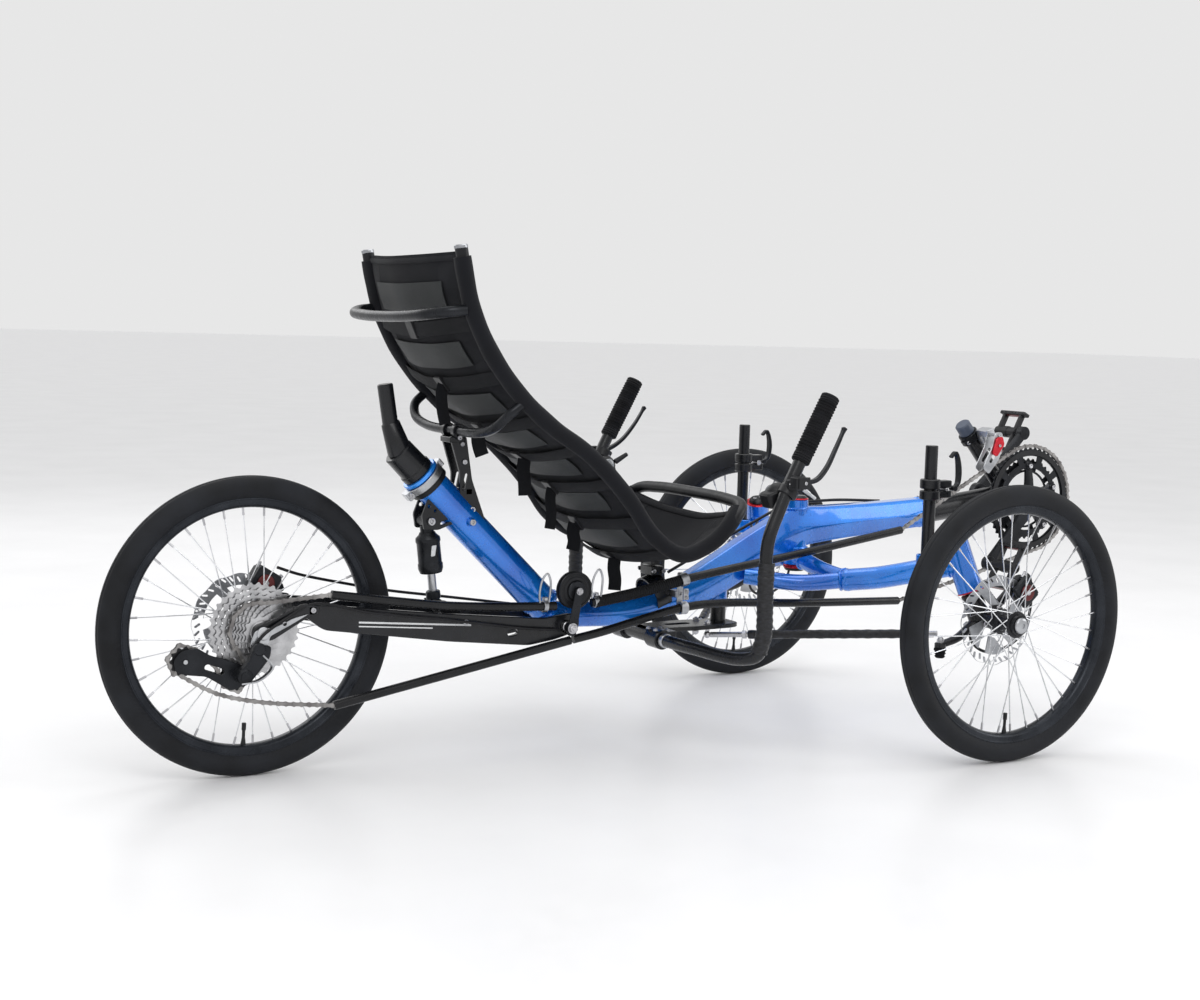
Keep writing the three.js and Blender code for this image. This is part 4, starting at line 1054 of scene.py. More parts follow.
def main_tube_skin():
    """Stations of x, z, half height, half width and how crisp the ridges are, from the nose back."""
    rows = eased_rows([
        (145, 389, 28, 28, 34), (20, 380.5, 30, 28, 34), (-100, 373, 34, 28, 30), (-165, 366, 38, 28, 24),
        (-240, 336, 36, 28, 20), (-373, 268, 34, 28, 16), (-450, 242, 28, 27, 12), (-540, 226, 23, 26, 8),
        (-700, 232, 24, 26, 6)], 9)
    points, sides = [], 60
    for n, (x, z, high, wide, crisp) in enumerate(rows):
        before, after = rows[max(n - 1, 0)], rows[min(n + 1, len(rows) - 1)]
        slope = math.atan2(before[1] - after[1], before[0] - after[0])
        for across, up in faceted(high, wide, crisp, sides):
            points.append((x - up * math.sin(slope), across, z + up * math.cos(slope)))
    faces = []
    for n in range(len(rows) - 1):
        for i in range(sides):
            j = (i + 1) % sides
            faces.append((n * sides + i, n * sides + j, (n + 1) * sides + j, (n + 1) * sides + i))
    faces += [tuple(range(sides)), tuple(range((len(rows) - 1) * sides, len(rows) * sides))]
    return Shape(points, faces)


def weld(line, radius=2.4):
    """A rippled weld bead along a joint."""
    count = len(line) * 3
    even = even_points(line, count, True)
    return sweep(even, circle(radius, 8), closed=True, grow=lambda t: 1 + 0.16 * math.sin(t * count * 2.1))


def collar_line(centre, axis, radius, count=18, flat=1.0):
    """Points of a circle about an axis."""
    along = Vector(axis).normalized()
    side = along.orthogonal().normalized()
    up = along.cross(side)
    return [Vector(centre) + side * radius * math.cos(2 * math.pi * i / count)
            + up * radius * flat * math.sin(2 * math.pi * i / count) for i in range(count)]


MAST_LOW, MAST_HIGH = Vector((-690, 0, 243)), Vector((-932, 0, 478))
MAST_AXIS = (MAST_HIGH - MAST_LOW).normalized()
MAST_LENGTH = (MAST_HIGH - MAST_LOW).length
MAST_FRONT = Vector((MAST_AXIS.z, 0, -MAST_AXIS.x))


def mast(along, off=0.0, y=0.0):
    return MAST_LOW + MAST_AXIS * along + MAST_FRONT * off + Vector((0, y, 0))


KINGPIN_LOW, KINGPIN_HIGH = Vector((-17, 330, 284)), Vector((-40, 302, 382))
KINGPIN_AXIS = (KINGPIN_HIGH - KINGPIN_LOW).normalized()


def kingpin(along, off=(0, 0, 0)):
    return KINGPIN_LOW + KINGPIN_AXIS * along + Vector(off)


KINGPIN_LENGTH = (KINGPIN_HIGH - KINGPIN_LOW).length
BOOM_SLOPE = (CRANK[2] - 389) / (CRANK[0] - 145)


def boom(x, off=0.0):
    return Vector((x, 0, CRANK[2] + BOOM_SLOPE * (x - CRANK[0]) + off))


piece("main_tube", "frame", "blue_enamel", [
    main_tube_skin(), sleeve(above(COLUMN, 297), above(COLUMN, 419), 21, 12.5, 1.2, 40),
    sleeve(beside(ARM_PIVOT, -34), beside(ARM_PIVOT, 34), 21, 10.6, 1.2, 40),
    sleeve((-330, 0, 239), (-330, 0, 276), 15.5, 8, 1.0, 32),
    sleeve(boom(128), boom(149), 30, 24.3, 1.4, 44), weld(collar_line(above(COLUMN, 329), (0, 0, 1), 21.4)),
    weld(collar_line(above(COLUMN, 403.5), (-0.09, 0, 1), 21.6)),
    weld(collar_line(beside(ARM_PIVOT, -25), (0, 1, 0), 21.2)),
    weld(collar_line(beside(ARM_PIVOT, 25), (0, 1, 0), 21.2)),], ["main_tube"], sharp=26)
piece("column_seals", "frame", "red_anodised", [
    sleeve(above(COLUMN, 291), above(COLUMN, 296.6), 21.6, 11, 1.0),
    sleeve(above(COLUMN, 419.4), above(COLUMN, 422), 21.2, 11, 0.8)])
piece("column_caps", "frame", "black_alloy", [
    bar(above(COLUMN, 285.5), above(COLUMN, 290.8), 18, 20, 1.0),
    bar(above(COLUMN, 422), above(COLUMN, 427), 19, 16, 1.0)])

piece("seat_mast", "frame", "blue_enamel", [
    bar(MAST_LOW + MAST_AXIS * 4, MAST_HIGH, 30, chamfer=1.2, segments=72),
    bar(mast(226, 0, -28), mast(226, 0, -37), 8, 6.4, 1.0, 24),
    bar(mast(226, 0, 28), mast(226, 0, 37), 8, 6.4, 1.0, 24),
    weld(collar_line(mast(16), (-0.5, 0, 0.75), 30.4, 24, 1.04), 2.8),], ["seat_mast"])
ear = [(-905, 434), (-870, 400), (-906, 387), (-932, 388), (-936, 412), (-925, 440), (-915, 447)]
ear_holes = [
    ring_outline((-923, 427), 3.2, 14), ring_outline((-912, 419), 2.6, 12),
    ring_outline((-914, 434), 2.4, 12), slot_outline((-900, 398), (-886, 403), 2.6),
    ring_outline((-920, 402), 5.2, 18)]
piece("shock_ears", "frame", "black_powder", twin_plates(ear, 15, 20, ear_holes, 4))
piece("mast_ring", "frame", "blue_anodised", [
    sleeve(mast(MAST_LENGTH - 2), mast(MAST_LENGTH + 4.5), 33.5, 27, 1.4, 56)])
piece("mast_band", "frame", "satin_black", [
    sleeve(mast(MAST_LENGTH - 25), mast(MAST_LENGTH - 15), 35.2, 30.3, 1.0, 56)])
piece("mast_clamp", "frame", "satin_alloy", [
    sleeve(mast(MAST_LENGTH - 16), mast(MAST_LENGTH - 3), 35.8, 30.3, 1.2, 56),
    block(mast(MAST_LENGTH - 9.5, -38), (13, 20, 15), 3, facing=lean(44)),
    block(mast(MAST_LENGTH - 9.5, 36), (12, 16, 13), 3, facing=lean(44))], ["mast_clamp"])
at_marks("mast_bolts", "frame", "bolt_steel", [
    (mast(MAST_LENGTH - 9.5, -38, -10), (0, -1, 0), 4.6), (mast(MAST_LENGTH - 9.5, 36, -8), (0, -1, 0), 3.6),
    (mast(226, 0, -37), (0, -1, 0), 5.4), (mast(226, 0, 37), (0, 1, 0), 5.4),
    (beside(SHOCK_TOP, -20), (0, -1, 0), 6.6), (beside(SHOCK_TOP, 20), (0, 1, 0), 6.6)], socket_bolt)
piece("mast_extension", "frame", "black_powder", [
    bar(mast(MAST_LENGTH + 3), mast(MAST_LENGTH + 58), 27, 26, 2.0, 56),
    sleeve(mast(MAST_LENGTH + 6), mast(MAST_LENGTH + 17), 28.6, 24, 1.2, 56),
    bar(mast(MAST_LENGTH + 50), (-988, 0, 566), 21, 15.5, 2.5, 40),
    bar((-985.5, 0, 552), (-998, 0, 628), 13, chamfer=1.6, segments=40)], ["mast_extension"])

FORK = (-150, 150, 287)
pair("axle_beam", "frame", "blue_enamel", [
    tube([(-28, 315, 334), (-75, 262, 316), (-118, 200, 297), FORK], 20, 40, 36), ball(FORK, 20.6, 32),
    tube([FORK, (-158, 80, 296), (-161, 22, 309)], 16, 26, 32),
    tube([FORK, (-215, 86, 276), (-290, 24, 283)], 15, 30, 32),
    sleeve(kingpin(0.5), kingpin(KINGPIN_LENGTH - 0.5), 23, 12.4, 1.6, 44),
    sleeve((-87, 284, 322), (-87, 284, 348), 15, 11.4, 1.0, 32),
    weld(collar_line((-44, 298, 329), (-0.6, -0.75, -0.25), 20.6)),
    weld(collar_line((-151, 138, 288), (-0.1, -1, 0.1), 17.6)),
    weld(collar_line((-160, 142, 285.5), (-0.7, -0.7, -0.1), 17)),
    weld(collar_line((-161, 30, 307), (0, -1, 0.3), 16.4)),], "axle_beam")
pair("kingpin_seals", "frame", "red_anodised", [
    sleeve(kingpin(-0.2), kingpin(2.6), 23.6, 12, 0.8, 44),
    sleeve(kingpin(KINGPIN_LENGTH - 2.6), kingpin(KINGPIN_LENGTH + 0.2), 23.6, 12, 0.8, 44)])

# ------------------------------------------------------------------ boom and front derailleur
RING_POST_FOOT, RING_POST_TOP = Vector((345, 0, 430)), Vector((232, 0, 560))
RING_POST_AXIS = (RING_POST_TOP - RING_POST_FOOT).normalized()
RING_CLAMP = Vector((253, 0, 535.8))
piece("boom", "frame", "black_powder", [
    bar(boom(112), boom(352), 24, chamfer=1.0, segments=56),
    sleeve(beside(CRANK, -34), beside(CRANK, 34), 22.4, 12.6, 1.2, 48),
    sleeve(beside(CRANK, -38), beside(CRANK, -33), 20.4, 12.6, 1.0, 40),
    sleeve(beside(CRANK, 33), beside(CRANK, 38), 20.4, 12.6, 1.0, 40),
    bar(RING_POST_FOOT, RING_POST_TOP - RING_POST_AXIS * 18, 15, chamfer=1.4, segments=40),
    weld(collar_line((338, 0, 437), RING_POST_AXIS, 15.8))], ["boom"])
piece("derailleur_post_cap", "frame", "slate_cap", [
    bar(RING_POST_TOP - RING_POST_AXIS * 24, RING_POST_TOP, 15.6, 15.2, 2.2, 40)])
cage_side = [(226, 478), (242, 466), (266, 494), (276, 522), (272, 548), (254, 548), (248, 520)]
piece("front_derailleur", "frame", "satin_alloy", [
    plate(cage_side, -74, -72.4, [slot_outline((246, 492), (260, 512), 4)], chamfer=0.4, corner=6),
    plate(cage_side, -52, -50.4, [slot_outline((246, 492), (260, 512), 4)], chamfer=0.4, corner=6),
    block((262, -62, 543), (14, 23, 6), 2), block((262, -36, 546), (20, 34, 13), 4, facing=lean(20)),
    block((268, -24, 532), (14, 20, 22), 4, facing=lean(40))], ["front_derailleur"])
piece("derailleur_clamp", "frame", "black_alloy", [
    sleeve(RING_CLAMP - RING_POST_AXIS * 9, RING_CLAMP + RING_POST_AXIS * 9, 19.6, 15.3, 1.2, 40),
    block((243, -2, 523), (12, 14, 12), 2.5, facing=lean(45))])
piece("derailleur_arm", "frame", "red_anodised", [
    plate([(246, 506), (258, 500), (276, 524), (270, 540), (256, 538)], -78, -74.4, corner=5)])
at_marks("front_bolts", "frame", "bolt_steel", [
    ((264, -74, 541), (0, -1, 0), 3.4), ((243, -9, 523), (0, -1, 0), 4.2), ((262, -78, 522), (0, -1, 0), 3.0),
    (boom(139, 30), (0, 0, 1), 4.4), (boom(131, 29), (0, 0, 1), 3.8)], socket_bolt)

# ------------------------------------------------------------------ seat
SEAT_LINE = [
    (-955, 850), (-945, 800), (-932, 752), (-900, 688), (-850, 624), (-788, 570), (-712, 520), (-640, 450),
    (-588, 385), (-530, 352), (-470, 372), (-425, 412)]
RAIL_Y = 188
rail = [(x, RAIL_Y, z) for x, z in SEAT_LINE]
bow = [(-404, 172, 430), (-396, 120, 436), (-394, 0, 438)]
ring_line = mirrored_line(rail + bow[:-1], bow[-1:])
piece("seat_frame", "frame", "satin_black", [tube(ring_line, 10.4, 170, 20)], ["seat_frame"])
pair("rail_ends", "frame", "satin_alloy", [
    bar((-954.4, RAIL_Y, 845), (-955.3, RAIL_Y, 851.6), 11, chamfer=1.4, segments=28)])


def seat_rows():
    """Along the seat: the rail's place, the direction behind it, and the half width."""
    count = 96
    line = even_points([(x, 0, z) for x, z in SEAT_LINE] + [(-406, 0, 428)], count)
    rows = []
    for n, p in enumerate(line):
        ahead = (line[min(n + 1, count - 1)] - line[max(n - 1, 0)]).normalized()
        behind = Vector((ahead.z, 0, -ahead.x))
        share = n / (count - 1)
        half = RAIL_Y if share < 0.94 else RAIL_Y - 20 * ((share - 0.94) / 0.06) ** 2
        rows.append((p, behind, half, share))
    return rows


def seat_spot(row, across, lift):
    """A point of the sling: across runs from -1 to 1 between the rails, lift is above the cloth's middle."""
    p, behind, half, share = row
    sag = 25 * (1 - across**2) ** 1.2
    wrinkle = 1.6 * math.sin(share * 62 + across * 5) * math.exp(-((abs(across) - 0.78) / 0.16) ** 2)
    wrinkle += 1.1 * math.sin(share * 23 + 7 * across) * (1 - across**2)
    edge = (half - 9) / half
    return p + behind * (sag + wrinkle - lift) + Vector((0, across * half * edge, 0))


def sling_skin(rows, low, high, columns=44, thick=2.4, lift=0.0):
    points, uvs = [], []
    for row in rows:
        for side in (1, -1):
            for k in range(columns + 1):
                c = k if side == 1 else columns - k
                across = low + (high - low) * c / columns
                points.append(seat_spot(row, across, lift + side * thick / 2))
                uvs.append((across * row[2] / 1000, row[3] * 0.96))
    ring = 2 * (columns + 1)
    faces, measures = [], []
    for n in range(len(rows) - 1):
        for i in range(ring):
            j = (i + 1) % ring
            face = (n * ring + i, n * ring + j, (n + 1) * ring + j, (n + 1) * ring + i)
            faces.append(face)
            measures.append([uvs[k] for k in face])
    for start in (0, (len(rows) - 1) * ring):
        for i in range(columns):
            far = ring - 1 - i
            face = (start + i, start + i + 1, start + far - 1, start + far)
            faces.append(face)
            measures.append([uvs[k] for k in face])
    return Shape(points, faces, measures)


ROWS = seat_rows()
sling = piece("seat_sling", "frame", "sling_mesh", [sling_skin(ROWS[1:-1], -1.0, 1.0)], ["seat_sling"],
    sharp=70)
girth = 0.0
for p, q in zip(ROWS[1:-1], ROWS[2:-1]):
    girth += (q[0] - p[0]).length / 1000


def rail_sleeve(low, high):
    """Cloth sewn round the rail, slack on the inner side and gathered here and there."""
    section = []
    line = [p + Vector((0, half, 0)) for p, _, half, _ in ROWS[low:high]]
    sides = 22
    for i in range(sides):
        a = 2 * math.pi * i / sides
        r = 13.4 + 5.5 * max(0.0, math.cos(a)) ** 3
        section.append((-r * math.cos(a), r * math.sin(a)))
    ripple = lambda t: 1 + 0.018 * math.sin(t * 71) + 0.012 * math.sin(t * 33 + 1)
    return sweep(line, section, across=(0, 1, 0), grow=ripple)


pair("sling_sleeve", "frame", "edge_cloth", [rail_sleeve(2, 95)], sharp=75)
pair("sling_border", "frame", "edge_cloth", [sling_skin(ROWS[2:94], 0.66, 0.985, 8, 3.4, 0.2)], sharp=75)
piece("front_binding", "frame", "edge_cloth", [
    sweep(even_points([seat_spot(ROWS[-3], -1 + 2 * k / 16, 0) for k in range(17)], 40),
        circle(5.2, 14, 1.5), across=(1, 0, 0.4)),
    sweep(even_points([seat_spot(ROWS[2], -1 + 2 * k / 16, 0) for k in range(17)], 40),
        circle(3.4, 12, 1.6), across=(0.2, 0, 1))])

PANEL_ROWS = [6, 17, 28, 38, 48, 58, 67, 76]
panels, straps, tails, buckles = [], [], [], []
for n, row in enumerate(PANEL_ROWS):
    span = ROWS[row:row + 6]
    panels.append(sling_skin(span, -0.72, 0.72, 26, 1.6, -4.6))
    centre_row = ROWS[row + 8 if row + 8 < len(ROWS) - 4 else row + 6]
    for side in (-1, 1):
        line = [seat_spot(centre_row, side * a, -7 - 3 * (1 - a)) for a in (0.98, 0.75, 0.5, 0.25, 0.02)]
        straps.append(strap(line, 24, 1.8, across=centre_row[0] - ROWS[row][0], count=16))
    hang = seat_spot(centre_row, -0.16 + 0.05 * (n % 3), -13)
    if 0 < n < 7:
        length = (46, 62, 40, 58, 66, 44, 52)[n % 7]
        back = centre_row[1]
        tails.append(strap([
            hang, hang + back * 6 + Vector((0, -3, -12)), hang + back * 7 + Vector((2, -6, -length * 0.6)),
            hang + back * 4 + Vector((5 * math.sin(n), -8, -length))], 24, 1.8,
            across=(1, 0.25 * math.sin(2 * n), 0), count=16))
    buckles.append(block(seat_spot(centre_row, -0.06, -11), (26, 30, 5), 3,
                         facing=centre_row[1].to_track_quat("Z", "Y").to_matrix().to_4x4()))
piece("sling_panels", "frame", "sling_panel", panels, sharp=70)
piece("sling_straps", "frame", "webbing", straps + tails, sharp=50)
piece("sling_buckles", "frame", "black_plastic", buckles)

stitch = copied("stitch", [tube([(-1.6, 0, -0.2), (0, 0, 0.35), (1.6, 0, -0.2)], 0.42, 5, 6)])
for row_across in (0.67, 0.72, 0.955):
    for side in (-1, 1):
        seam = [seat_spot(ROWS[n], side * row_across, 2.3) for n in range(4, 92)]
        label = f"seam_{round(row_across * 100)}_{'left' if side > 0 else 'right'}"
        along_line(label, "frame", "thread", even_points(seam, 120), stitch, pitch=5.4)

push_left = [(-943, 188, 751), (-968, 182, 748), (-992, 150, 743), (-1002, 80, 739)]
cross_left = [(-844, 188, 604), (-862, 184, 588), (-872, 160, 568), (-874, 110, 555)]
piece("seat_push_bar", "frame", "black_alloy", [
    tube(mirrored_line(push_left, [(-1004, 0, 738)]), 9, 90, 24)], ["seat_push_bar"])
piece("seat_crossbar", "frame", "black_alloy", [
    tube(mirrored_line(cross_left, [(-874, 0, 552)]), 8, 80, 24)], ["seat_crossbar"])
leg = [(-868, 424), (-828, 384), (-818, 396), (-846, 470), (-858, 543), (-888, 543), (-868, 480)]
leg_holes = [ring_outline((-845, 420), 3.4, 16), slot_outline((-861, 455), (-856, 478), 3)]
piece("seat_mount_rear", "frame", "black_powder", [
    *twin_plates(leg, 14, 20, leg_holes, 5), block((-874, 0, 537), (28, 42, 9), 3),
    block((-851, 0, 450), (16, 40, 10), 3), sleeve((-874, -26, 552), (-874, -14, 552), 12, 8.2, 1, 32),
    sleeve((-874, 14, 552), (-874, 26, 552), 12, 8.2, 1, 32),], ["seat_mount_rear"])
mount_pins = [
    ((-845, -20, 420), (0, -1, 0), 5), ((-861, -20, 500), (0, -1, 0), 4.2),
    ((-874, -26, 541), (0, -1, 0), 4), ((-866, -20, 530), (0, -1, 0), 3.6)]
at_marks("seat_mount_bolts", "frame", "bolt_steel", both_sides(mount_pins), socket_bolt)
piece("seat_mount_front", "frame", "black_powder", [
    sweep(collar_line((-470, 0, 258), (1, 0, 0.4), 33, 24, 1.02)[::-1], [
        (-15, -1.6), (15, -1.6), (15, 1.6), (-15, 1.6)], across=(1, 0, 0.35), closed=True),
    block((-476, 0, 300), (24, 44, 16), 4), block((-476, 0, 316), (20, 30, 12), 3),
    bar((-476, -16, 322), (-476, 16, 322), 6, chamfer=1)], ["seat_mount_front"])
at_marks("front_mount_bolts", "frame", "bolt_steel",
    both_sides([((-486, -23, 300), (0, -1, 0), 4), ((-466, -23, 300), (0, -1, 0), 4)]), socket_bolt)


# ------------------------------------------------------------------ steering
BAR_TOP, GRIP_START = (-335, 318, 622), (-396, 318, 508)
bar_left = [
    BAR_TOP, GRIP_START, (-428, 318, 440), (-450, 320, 385), (-453, 322, 300), (-453, 322, 232),
    (-456, 312, 198), (-468, 280, 186), (-490, 170, 186), (-496, 90, 186)]
bar_whole = mirrored_line(bar_left)
piece("handlebar", "steering", "black_powder", [tube(bar_whole, 11, 220, 26)], ["handlebar"])
pair("bar_wrap", "steering", "wrinkled_tape", [
    sweep(even_points([(-451.4, 320.6, 352), (-453, 322, 300), (-453, 322, 232), (-455.5, 314, 203)], 80),
          circle(13.6, 26), grow=lambda t: 1 + 0.035 * math.sin(t * 83) + 0.02 * math.sin(t * 37 + 2))])
pair("bar_elbow", "steering", "satin_alloy", [
    sleeve((-495.8, 92, 186), (-496, 82, 186), 12.6, 11, 0.6, 32)])


def on_bar(along):
    """A point of the left grip's axis, from its top end down."""
    top, start = Vector(BAR_TOP), Vector(GRIP_START)
    return top + (start - top).normalized() * along


grip_profile = [
    (0, -6), (13.5, -6), (15.8, -4), (16, 3), (15.2, 5), (15.4, 20), (15.9, 50), (15.4, 84), (15.2, 100),
    (15.8, 104), (16.0, 116), (14.5, 118), (0, 118)]
pair("grip", "steering", "grip_rubber", [
    turned(grip_profile, BAR_TOP, Vector(GRIP_START) - Vector(BAR_TOP), 40)], "grip")
rib_ring = copied("grip_rib", [sleeve((-1.1, 0, 0), (1.1, 0, 0), 16.6, 14.6, 0.5, 30)])
for side in (1, -1):
    ends = [on_bar(8), on_bar(98)]
    line = [Vector((p.x, p.y * side, p.z)) for p in ends]
    along_line(f"grip_ribs_{'left' if side > 0 else 'right'}", "steering", "grip_rubber",
        even_points(line, 20), rib_ring, pitch=5.2)

LEVER = Vector((-404, 346, 486))
x, y, z = LEVER
pair("control", "steering", "black_plastic", [
    sleeve((-397, 318, 492), (-404.6, 318, 478), 16.6, 11.2, 1.4, 32),
    sleeve((-408, 318, 474), (-416, 318, 462), 16.6, 11.2, 1.4, 32),
    block((x - 4, y - 8, z), (26, 4, 20), 1.5, 1.0), block((x - 4, y + 8, z), (26, 4, 20), 1.5, 1.0),
    block((x - 15, y, z), (8, 20, 18), 3), block((x - 8, y - 16, z - 4), (20, 12, 18), 4, 2),
    ball((-412, 288, 462), 20, 32, 0.86), block((-418, 290, 458), (44, 34, 26), 9, 3, facing=lean(20)),
    bar((-398, 276, 470), (-374, 270, 486), 5.5, 4, 1.4, 20),
    bar((-420, 276, 448), (-392, 266, 440), 5.5, 4, 1.4, 20),], "control")
pair("shift_window", "steering", "window_plastic", [
    ball((-414, 270.2, 466), 11, 28, 0.28, (0.1, -1, 0.1))])
pair("shift_needle", "steering", "red_anodised", [
    block((-417, 267.4, 461), (9, 1.2, 2), 0.4, 0.3, facing=lean(25))])
pair("lever_pins", "steering", "bolt_steel", [
    bar((x, y - 11.5, z), (x, y + 11.5, z), 3, chamfer=0.6, segments=16),
    bar((x - 15, y - 12, z - 4), (x - 15, y - 4, z - 4), 3.4, chamfer=0.6, segments=16),
    bar((-397, 305, 479), (-397, 300, 479), 3.2, chamfer=0.5, segments=6)])
pair("barrel_adjuster", "steering", "satin_alloy", [
    bar((-392, 331, 475), (-378, 331, 466), 4.2, 3.6, 0.8, 18),
    bar((-380, 331, 467), (-366, 331, 458), 2.8, chamfer=0.5, segments=14)])
blade = even_points([
    (x, y, z), (x + 28, y - 2, z + 4), (x + 54, y - 10, z + 22), (x + 78, y - 18, z + 54),
    (x + 98, y - 22, z + 88)], 48)
pair("brake_lever", "brake_lever", "black_alloy", [
    sweep(blade, bevelled(4.6, 3.4, 3, 1.4), across=(0.1, 1, 0.1),
        grow=lambda t: 1.25 - 0.45 * t + 0.35 * max(0, t - 0.93) / 0.07),
    bar((x, y - 5.2, z), (x, y + 5.2, z), 8, chamfer=1.2, segments=28),
    ball((x + 97, y - 22, z + 86), 4.4, 20)], "brake_lever")

blade_plan = [
    (-300, 24), (-320, 32), (-400, 36), (-470, 30), (-506, 30), (-506, -30), (-470, -30), (-400, -36),
    (-320, -32), (-300, -24)]
piece("steering_stem", "steering", "black_powder", [
    plate(blade_plan, 190, 198, [slot_outline((-436, 0), (-400, 0), 8, 8)], corner=10, place=lying,
        chamfer=1.0), bar((-330, 0, 190), (-330, 0, 237.6), 14, chamfer=1.2, segments=40),
    sleeve((-496, 41, 186), (-496, 79, 186), 17.4, 11.2, 1.4, 36),
    sleeve((-496, -79, 186), (-496, -41, 186), 17.4, 11.2, 1.4, 36),
    block((-478, 60, 192), (22, 34, 16), 3), block((-478, -60, 192), (22, 34, 16), 3),
    block((-496, 0, 194), (22, 88, 8), 3)], ["steering_stem"])
pin_marks = [
    ((-365, 20, 198), (0, 0, 1), 6), ((-484, 48, 200), (0, 0, 1), 4), ((-484, 72, 200), (0, 0, 1), 4),
    ((-508, 48, 202), (0, 0, 1), 4), ((-508, 72, 202), (0, 0, 1), 4)]
at_marks("stem_nuts", "steering", "bolt_steel", both_sides(pin_marks), hex_nut)
pair("rod_pins", "steering", "bolt_steel", [
    bar((-365, 20, 184.6), (-365, 20, 200), 4, chamfer=0.5, segments=18)])
piece("pivot_washer", "steering", "satin_alloy", [
    sleeve((-330, 0, 237.2), (-330, 0, 238.8), 17, 8, 0.4, 40),
    bar((-330, 0, 186), (-330, 0, 190.2), 10, chamfer=1, segments=6)])

inner, outer = Vector((-365, 20, 178)), Vector((-90, 340, 216))
run = (outer - inner).length
on_rod = lambda d: inner.lerp(outer, d / run)
pair("tie_rod", "tie_rod", "wrinkled_tape", [
    sweep([on_rod(78 + (run - 116) * k / 70) for k in range(71)], circle(7.8, 22),
          grow=lambda t: 1 + 0.035 * math.sin(t * 91) + 0.02 * math.sin(t * 47))], "tie_rod")
pair("tie_rod_ends", "tie_rod", "bolt_steel", [
    bar(on_rod(6), on_rod(82), 5, chamfer=0.6, segments=20), ball(inner, 6.5, 26),
    bar(on_rod(run - 44), on_rod(run - 6), 5, chamfer=0.6, segments=20),
    bar(on_rod(66), on_rod(74), 7.6, chamfer=0.8, segments=6),
    bar(on_rod(run - 34), on_rod(run - 27), 7.6, chamfer=0.8, segments=6)])

# ------------------------------------------------------------------ knuckles and front brakes
pair("knuckle", "knuckle", "black_powder", [
    bar(kingpin(-20), kingpin(KINGPIN_LENGTH + 4), 11.4, chamfer=0.8, segments=28),
    bar(kingpin(-50), kingpin(-2.2), 19, chamfer=2.0, segments=40),
    bar((0, 338, WHEEL_RADIUS), (0, 376, WHEEL_RADIUS), 17, chamfer=1.4, segments=36),
    bar((0, 340, WHEEL_RADIUS), (0, 441, WHEEL_RADIUS), 10, chamfer=0.6, segments=28),
    sweep(even_points([(-12, 342, 236), (-52, 341, 207), (-90, 340, 196)], 24), circle(7, 20, 1.25),
        across=(0, 1, 0), grow=lambda t: 1.15 - 0.25 * t),
    bar((-90, 340, 191), (-90, 340, 200), 10, chamfer=1.2, segments=32),
    block((27, 356, 268), (16, 9, 62), 4, 1.2, facing=Matrix.Rotation(0.85, 4, "Y"))], "knuckle")
pair("kingpin_cap", "knuckle", "black_alloy", [
    bar(kingpin(KINGPIN_LENGTH + 0.8), kingpin(KINGPIN_LENGTH + 7), 18, 16, 1.4, 40)])
pair("ball_joint", "knuckle", "bolt_steel", [
    bar((-90, 340, 199.6), (-90, 340, 206.4), 6.4, chamfer=0.8, segments=6), ball((-90, 340, 206), 5.2, 22)])
pair("ball_boot", "knuckle", "boot_rubber", [
    turned([(0, 0), (7, 0), (9.4, 3), (7.6, 5), (10.4, 8), (8.6, 10.5), (11.2, 14), (10.6, 17), (0, 17.6)],
        (-90, 340, 173.6), (0, 0, 1), 32)])
pair("axle_cap", "knuckle", "satin_alloy", [
    turned([
        (0, 440.6), (10, 440.6), (14, 441), (14, 443.4), (12.6, 445.6), (9, 446.9), (4, 447), (3.4, 445.6),
        (0, 445.6)], (0, 0, WHEEL_RADIUS), (0, 1, 0), 44)])
cap_marks = [
    (kingpin(KINGPIN_LENGTH + 6.6, (-7, 0, -1)), KINGPIN_AXIS, 3.6),
    (kingpin(KINGPIN_LENGTH + 6.6, (7, 0, 1)), KINGPIN_AXIS, 3.6), ((20, 362, 256), (0, 1, 0), 3.6),
    ((36, 362, 281), (0, 1, 0), 3.6)]
for side in (1, -1):
    placed = [((p[0], p[1] * side, p[2]), (a[0], a[1] * side, a[2]), s) for p, a, s in cap_marks]
    label = "left" if side > 0 else "right"
    at_marks(f"knuckle_bolts_{label}", f"knuckle_{label}", "bolt_steel", placed, socket_bolt)


def caliper(centre, disc_y, angle, low, high, face):
    """Two halves over the disc, a bridge, a piston cap on the outer face and a bleed nipple."""
    at = lambda radius, swing, y: polar(centre, radius, math.degrees(angle) + swing, y)
    facing = Matrix.Rotation(-angle, 4, "Y")
    middle = (low + high) / 2
    inner_half = (low + disc_y - 2.6) / 2
    outer_half = (high + disc_y + 2.6) / 2
    return ([
        block(at(74, 0, inner_half), (38, disc_y - 2.6 - low, 44), 6, 1.6, facing=facing),
        block(at(74, 0, outer_half), (38, high - disc_y - 2.6, 44), 6, 1.6, facing=facing),
        block(at(90, 0, middle), (12, high - low - 2, 40), 4, 1.4, facing=facing)], [
            bar(at(74, 0, face - 1), at(74, 0, face + (3.4 if face > disc_y else -3.4)), 14.5, chamfer=1.4,
                segments=40)], [
                    bar(at(74, 0, face), at(74, 0, face + (4.8 if face > disc_y else -4.8)), 5, chamfer=0.8,
                        segments=6),
                    bar(at(92, 12, middle), at(103, 12, middle), 3, chamfer=0.5, segments=14),
                    bar(at(92, -13, middle), at(102, -13, middle), 4.4, 3.6, 0.5, 14)])


